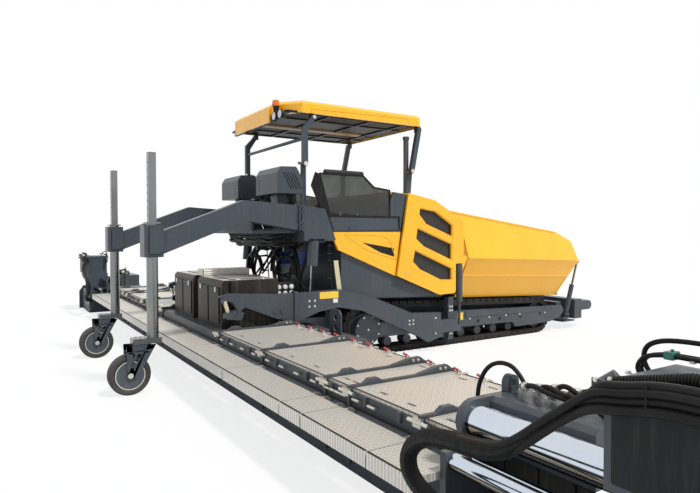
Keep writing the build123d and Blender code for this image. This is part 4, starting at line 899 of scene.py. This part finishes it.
# %% Window frames, struts and post pins
pane = ((-1.858, 2.240), (-0.560, 2.252), (-0.575, 2.676), (-0.880, 2.712), (-1.085, 2.884), (-1.868, 2.884))
strut = ((-2.015, 2.700), (-1.945, 2.900), (-1.850, 2.870), (-1.610, 2.020), (-1.690, 2.016))
pane_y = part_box("windows")[1].y + 0.008
frame_work = add_rim(bmesh.new(), pane_y, 0.014, 10, *pane)
add_sheet(frame_work, pane_y - 0.004, 0.022, *strut)
both("window_frame", frame_work, "black_steel", "tractor", 0.003)
roll_ends = [Vector((x, pane_y, z)) for x, z in ((-1.760, 2.912), (-1.120, 2.908))]
roll = add_rod(bmesh.new(), *roll_ends, 0.040, 20)
for spot in roll_ends:
    made = bmesh.ops.create_uvsphere(roll, u_segments=20, v_segments=10, radius=0.040)
    bmesh.ops.translate(roll, vec=spot, verts=made["verts"])
for piece in both("window_roll", roll, "seat_vinyl", "tractor"):
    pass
pins = bmesh.new()
for x in (-2.069, -0.065):
    for length, radius in ((0.009, 0.034), (0.013, 0.026)):
        add_peg(pins, (x, 1.141, 3.020), length, radius, 20)
for x, z in ((-2.125, 3.035), (-2.008, 3.030)):
    add_peg(pins, (x, 1.030, z), 0.009, 0.024, 16)
both("post_pins", pins, "zinc", "tractor")
print("window frames and pins")

# %% [markdown]
# ## Engine side
#
# Each door carries a screen of perforated sheet behind its three louvers and is held by small bolts. The
# rear yellow panel has a raised rim and a black four-sided recess.

# %% Doors and rear panels
door = "engine_door_{side}"
door_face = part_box("engine_door_left")[1].y
screen = add_sheet(
    bmesh.new(), 1.190, 0.004,
    (-0.150, 1.180), (0.700, 1.180), (0.700, 2.150), (0.345, 2.360), (-0.020, 2.400), (-0.150, 2.100))
both("door_screen", screen, "perforated_sheet", door)
bolts = add_bolts(
    bmesh.new(), door_face, 0.011,
    (-0.285, 1.35), (-0.300, 1.95), (0.735, 1.25), (0.760, 2.00), (0.30, 2.395))
both("door_bolts", bolts, "zinc", door)
panel_y = 1.200
rim = add_rim(
    bmesh.new(), panel_y, 0.007, 8,
    (-1.448, 1.972), (-0.775, 1.958), (-0.600, 1.900), (-0.455, 1.560), (-1.030, 1.730), (-1.370, 1.925))
both("panel_rim", rim, "yellow_paint", "tractor")
recess = add_sheet(
    bmesh.new(), panel_y, 0.002, (-1.111, 1.845), (-0.500, 1.745), (-0.500, 1.610), (-0.760, 1.680))
both("panel_recess", recess, "black_steel", "tractor")
print("doors and panels")

# %% [markdown]
# ## Track frames
#
# Outside the chain run bolted covers: a long tapering plate above a row of round holes, a ring of bolts on
# the drive's round cover, and bolt heads on the tow point's guide.

# %% Covers and bolts of the track frames
face = 1.080
post_face = face + 0.140
cover = add_sheet(bmesh.new(), face, 0.012, (1.180, 0.470), (1.180, 0.585), (3.180, 0.503), (3.220, 0.440))
both("track_covers", cover, "graphite_paint", "tractor", 0.002)
drive_x, drive_z = -0.917, 0.440
bolts = add_bolts(bmesh.new(), face, 0.013, (drive_x, drive_z))
add_bolts(bolts, face, 0.012, *[(drive_x + x, drive_z + z) for x, z in ring(0.215)])
add_bolts(
    bolts, face, 0.014,
    (1.294, 0.442), (1.640, 0.273), (1.782, 0.430), (2.226, 0.430), (2.605, 0.420), (3.329, 0.400))
add_bolts(bolts, post_face, 0.014, *[(x, z) for x in (0.690, 0.735) for z in (0.716, 0.650, 0.250)])
both("track_bolts", bolts, "zinc", "tractor")
holes = bmesh.new()
for x in (1.50, 2.06, 2.62, 3.18):
    add_peg(holes, (x, face, 0.385), 0.002, 0.034, 24)
both("cover_holes", holes, "black_steel", "tractor")
label = add_block(bmesh.new(), (1.000, face, 0.438), (1.130, face + 0.003, 0.570))
both("cover_label", label, "yellow_label", "tractor")
guard = add_block(bmesh.new(), (0.45, 0.742, 0.09), (3.05, 0.750, 0.42))
both("roller_guard", guard, "black_steel", "tractor")
print("track covers")

# %% [markdown]
# ## Support arms and casters
#
# The arms carry bolted joints and round bosses. The caster forks have a ring of bolts, axle nuts and
# cheek plates, and the wheels have bright rims round a grey hub.

# %% Arms and casters
arm_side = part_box("support_arms")[1].y
joint_bolts = [(x, z) for x in (-2.283, -2.237) for z in (2.070, 2.150, 2.290, 2.370)]
bolts = add_bolts(bmesh.new(), arm_side, 0.016, *joint_bolts)
for x, z in ((-3.10, 2.160), (-1.60, 2.280), (-1.30, 2.280)):
    add_peg(bolts, (x, 1.340, z), 0.010, 0.026, 20)
both("arm_bolts", bolts, "graphite_paint", "tractor")
fork, wheel = "caster_fork_{side}", "caster_wheel_{side}"
axle_x, axle_z = -4.607, 0.25
swivel_x, swivel_y = -4.484, 1.256
fork_low, fork_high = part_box("caster_fork_left")
wheel_low, wheel_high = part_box("caster_wheel_left")
top = min(fork_high.z - 0.004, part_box("support_leg_left")[0].z - 0.006)
cheek_outlines = (
    ((-4.655, top), (-4.585, top), (-4.565, 0.240), (-4.645, 0.240)),
    ((-4.400, top), (-4.300, top), (-4.520, 0.215), (-4.610, 0.215)),
    ((-4.655, top), (-4.300, top), (-4.330, top - 0.055), (-4.648, top - 0.075)))
nuts, cheeks, rims, hubs = [bmesh.new() for number in range(4)]
for x, y in ring(0.075):
    add_bolt(nuts, (swivel_x + x, swivel_y + y, fork_high.z), (0, 0, 1), 0.010)
for way, fork_y, wheel_y in ((-1, fork_low.y, wheel_low.y), (1, fork_high.y, wheel_high.y)):
    add_bolt(nuts, (axle_x, fork_y, axle_z), (0, way, 0), 0.026)
    for outline in cheek_outlines:
        add_sheet(cheeks, fork_y, way * -0.008, *outline)
    add_peg(rims, (axle_x, wheel_y - way * 0.004, axle_z), way * 0.006, 0.178, 48)
    add_peg(hubs, (axle_x, wheel_y, axle_z), way * 0.004, 0.166, 48)
    add_peg(hubs, (axle_x, wheel_y, axle_z), way * 0.010, 0.062, 32)
both("caster_nuts", nuts, "zinc", fork)
both("fork_cheeks", cheeks, "graphite_paint", fork)
both("wheel_rims", rims, "zinc", wheel)
both("wheel_hubs", hubs, "graphite_paint", wheel)
print("arms and casters")

# %% [markdown]
# ## Screed centre and auger drive
#
# Thick black pipes loop over the auger drive in front of the control boxes, thin hoses hang round the
# generator, and the boxes have latches, tread plate lids and a valve block with round caps.

# %% Pipes and box fittings
for number, loop in enumerate((
        ((-2.150, 0.90, 1.36), (-2.150, 0.89, 1.52), (-2.150, 0.80, 1.62), (-2.150, 0.55, 1.63),
         (-2.150, 0.35, 1.55), (-2.150, 0.28, 1.36)),
        ((-2.080, 0.92, 1.36), (-2.080, 0.86, 1.70), (-2.060, 0.55, 1.80), (-2.040, 0.15, 1.78),
         (-2.040, -0.10, 1.62), (-2.040, -0.14, 1.36)))):
    hoses(f"pipe_loop_{number}", loop, 0.034, "tractor")
boxes_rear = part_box("screed_boxes")[0].x
latches, treads, risers = [bmesh.new() for number in range(3)]
for hand, side in sides:
    for y in (0.30, 0.95):
        spot = (boxes_rear, hand * y, 1.215)
        add_block(latches, moved(spot, -0.012, -0.022, -0.04), moved(spot, 0, 0.022, 0.03))
    for x in (-3.10, -2.72):
        spot = (x, hand * 1.060, 1.340)
        add_block(latches, moved(spot, -0.03, -0.012), moved(spot, 0.03, 0.012, 0.012))
    add_block(treads, (-3.330, hand * 0.16, 1.3405), (-2.570, hand * 1.10, 1.3435))
    add_block(treads, (-3.195, hand * 0.305, 1.3525), (-2.625, hand * 1.015, 1.3550))
    add_block(risers, (-3.290, hand * 0.1205, 1.345), (-2.562, hand * 0.1230, 1.439))
add_block(treads, (-3.295, -0.117, 1.4405), (-2.557, 0.117, 1.4435))
add_block(risers, (-3.3030, -0.117, 1.345), (-3.3005, 0.117, 1.439))
fit("box_latches", latches, "zinc", "screed", 0.002)
fit("box_treads", treads, "aluminium_plate", "screed")
fit("box_risers", risers, "upright_tread", "screed")
print("boxes and pipes")

# %% Valve blocks, hoses round the generator
block = add_block(bmesh.new(), (-2.552, 0.95, 1.060), (-2.250, 1.100, 1.270))
both("valve_block", block, "black_steel", "screed", 0.004)
caps = bmesh.new()
for x in (-2.500, -2.400, -2.300):
    for z in (1.120, 1.210):
        add_peg(caps, (x, 1.100, z), 0.018, 0.034, 20)
        add_peg(caps, (x, 1.118, z), 0.010, 0.024, 20)
both("valve_caps", caps, "white_label", "screed")
clutter = (               # start, hanging point and end of the hose on the right-hand side, radius
    ((-1.95, 0.05, 1.82), (-2.18, -0.15, 1.35), (-2.05, -0.52, 1.30), 0.016),
    ((-1.90, -0.10, 1.82), (-2.22, -0.40, 1.30), (-2.00, -0.70, 1.40), 0.014),
    ((-1.85, -0.35, 1.84), (-2.10, -0.62, 1.22), (-2.05, -0.30, 1.18), 0.018),
    ((-1.95, -0.60, 1.84), (-2.15, -0.80, 1.50), (-2.00, -0.95, 1.15), 0.020),
    ((-1.90, -0.75, 1.84), (-2.25, -0.60, 1.58), (-2.10, -0.20, 1.62), 0.016),
    ((-1.90, -0.98, 1.84), (-2.05, -0.90, 1.30), (-1.95, -0.70, 1.10), 0.024),
)
for number, (*knots, radius) in enumerate(clutter):
    start, low, end = [Vector((x, -y, z)) for x, y, z in knots]
    path = [start, start.lerp(low, 0.5), low, low.lerp(end, 0.5), end]
    hoses(f"drive_hose_{number}", path, radius, "tractor")
for number, (x, z, radius) in enumerate((
        (-2.470, 1.945, 0.030), (-2.480, 1.880, 0.026), (-2.395, 1.862, 0.028), (-2.500, 1.985, 0.018),
        (-2.350, 1.815, 0.028))):
    hoses(
        f"beam_hose_{number}",
        [(x + 0.12, 1.06, z + 0.02), (x, 0.96, z), (x, 0.75, z - 0.03), (x, 0.50, z + 0.015),
         (x, 0.25, z - 0.02), (x, 0, z)],
        radius, "tractor")
print("valve blocks and hoses")

# %% [markdown]
# ## Plates, labels and bolts on the right and left flanks
#
# A machine's flanks carry bolted trim: the belt panel under the window, its black surround, blank labels on
# the tow arms, groups of bolts, the transport bar, hose clips, and a short damper at the arm's hook.

# %% Flank fittings
side_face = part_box("side_panels")[1].y
belt = add_sheet(
    bmesh.new(), side_face, 0.014, (-1.705, 2.225), (-0.430, 2.225), (-0.415, 2.045), (-1.640, 2.025))
both("belt_plate", belt, "graphite_paint", "tractor", 0.003)
edge = add_sheet(
    bmesh.new(), side_face, 0.010,
    (-1.755, 2.370), (-1.655, 2.290), (-1.100, 2.262), (-0.430, 2.262), (-0.430, 2.236), (-1.715, 2.236))
add_block(edge, (-0.415, side_face, 2.040), (-0.385, side_face + 0.010, 2.262))
both("belt_surround", edge, "black_steel", "tractor")
arm_face = round(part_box("tow_arms")[1].y - 0.025, 4)
hook_x, hook_z = -3.400, 1.085
label = add_block(bmesh.new(), (-1.930, arm_face, 1.020), (-1.610, arm_face + 0.002, 1.120))
both("arm_label", label, "yellow_label", "screed")
tag = add_block(bmesh.new(), (-1.700, arm_face, 0.950), (-1.620, arm_face + 0.002, 1.010))
both("arm_tag", tag, "white_label", "screed")
bolts = add_bolts(
    bmesh.new(), arm_face, 0.013, (-2.106, 1.000), (-2.014, 1.000), (-2.106, 0.920), (-2.014, 0.920),
    (-0.257, 0.560), (-0.180, 0.560), (-0.257, 0.500), (-0.180, 0.500), (0.300, 0.560), (0.300, 0.300))
both("arm_bolts_small", bolts, "zinc", "screed")
bosses = add_sheet(
    bmesh.new(), arm_face - 0.06, 0.05,
    (-3.390, 0.840), (-3.390, 0.910), (-3.200, 0.960), (-3.100, 0.900), (-3.150, 0.800))
for x, z, inset, length, radius in (
        (-2.651, 0.893, 0.0, 0.012, 0.030), (-2.540, 0.885, 0.0, 0.012, 0.030),
        (hook_x, hook_z, 0.01, 0.055, 0.040), (-3.340, 0.880, 0.06, 0.105, 0.050)):
    add_peg(bosses, (x, arm_face - inset, z), length, radius, 24)
both("arm_bosses", bosses, "graphite_paint", "screed")
top, bottom = [Vector((x, arm_face + 0.030, z)) for x, z in ((hook_x, hook_z), (-3.345, 0.900))]
neck = top.lerp(bottom, 0.75)
damper = add_rod(bmesh.new(), top, neck, 0.026, 20)
add_rod(damper, neck, bottom, 0.014, 16)
both("hook_damper", damper, "cream_zinc", "screed")
bar_y = 1.150
bar = add_sheet(bmesh.new(), bar_y, 0.020, (-1.612, 1.575), (-1.532, 1.575), (-1.470, 1.120), (-1.550, 1.120))
both("lock_bar", bar, "cream_zinc", "tractor", 0.002)
clips = add_rod(bmesh.new(), (-1.690, bar_y, 1.880), (-1.640, bar_y, 1.140), 0.011, 8)
for z in (1.80, 1.68, 1.57, 1.30):
    add_rod(clips, (-1.720, bar_y, z), (-1.640, bar_y, z), 0.012, 10)
both("hose_clips", clips, "black_steel", "tractor")
print("flanks dressed")

# %% [markdown]
# The front stub of each canopy post wears a thin cover of four plates, with a round pivot disc at the top.

# %% Stub covers
stub_line = ((-0.164, 2.640), (-0.109, 3.000), (-0.023, 3.000), (-0.057, 2.640))
inner, outer = 1.0395, 1.0695
stub = add_sheet(bmesh.new(), outer, 0.002, *stub_line)
add_sheet(stub, inner - 0.002, 0.002, *stub_line)
for (x, z), (next_x, next_z), push in ((*stub_line[:2], -0.003), (*stub_line[2:], 0.003)):
    corners = ((x, inner, z), (next_x, inner, next_z), (next_x, outer, next_z), (x, outer, z))
    add_plate(stub, corners, (push, 0, 0))
add_peg(stub, (-0.065, inner - 0.001, 3.020), outer - inner + 0.001, 0.041, 40)
both("stub_cover", stub, "graphite_paint", "tractor")
print("stub covers")

# %% [markdown]
# ## Seats
#
# The operators' seats are foam under vinyl. Each cushion starts as a plain block a little too small, and a
# short cloth run under air pressure rounds it, which gives the soft crown and the drawn-in edges of a sewn
# cover. The growth is capped so the cushion stays on its frame.

# %% Seat cushions
growth_cap = 0.022
pads = []
for hand, side in sides:
    low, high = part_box(f"seat_{side}")
    middle = (low.y + high.y) / 2
    cushion = add_block(bmesh.new(), (-2.030, middle - 0.205, 2.350), (-1.600, middle + 0.205, 2.430))
    add_sheet(
        cushion, middle - 0.190, 0.380, (-2.050, 2.450), (-2.105, 2.960), (-2.035, 2.960), (-1.960, 2.450))
    pad = fit(f"seat_pad_{side}", cushion, "seat_vinyl", f"operator_pod_{side}")
    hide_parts(f"seat_{side}")
    grid = pad.modifiers.new("grid", "REMESH")
    grid.mode = "VOXEL"
    grid.voxel_size = 0.016
    bpy.context.view_layer.update()
    dense = bpy.data.meshes.new_from_object(pad.evaluated_get(bpy.context.evaluated_depsgraph_get()))
    pad.modifiers.clear()
    pad.data = dense
    dense.shade_smooth()
    pads.append(pad)
    stand = add_block(bmesh.new(), (-1.950, middle - 0.095, low.z), (-1.700, middle + 0.095, 2.340))
    add_block(stand, (-2.040, middle - 0.180, 2.330), (-1.620, middle + 0.180, 2.352))
    add_block(stand, (-2.062, middle - 0.050, 2.340), (-2.040, middle + 0.050, 2.900))
    fit(f"seat_stand_{side}", stand, "black_steel", f"operator_pod_{side}", 0.004)
before = [[vertex.co.copy() for vertex in pad.data.vertices] for pad in pads]
for pad in pads:
    cloth = pad.modifiers.new("air", "CLOTH")
    cloth.settings.use_pressure = True
    cloth.settings.uniform_pressure_force = 4.0
    cloth.settings.effector_weights.gravity = 0.0
for number in range(1, 21):
    bpy.context.scene.frame_set(number)
graph = bpy.context.evaluated_depsgraph_get()
for pad, places in zip(pads, before):
    puffed = pad.evaluated_get(graph).data
    for vertex, place, grown in zip(pad.data.vertices, places, puffed.vertices):
        push = grown.co - place
        vertex.co = place + push * min(1.0, growth_cap / max(push.length, 1e-6))
for pad in pads:
    pad.modifiers.clear()
bpy.context.scene.frame_set(1)
for pad in pads:
    fine = pad.modifiers.new("fine", "SUBSURF")
    fine.levels = fine.render_levels = 1
print("cushions:", [len(pad.data.vertices) for pad in pads])
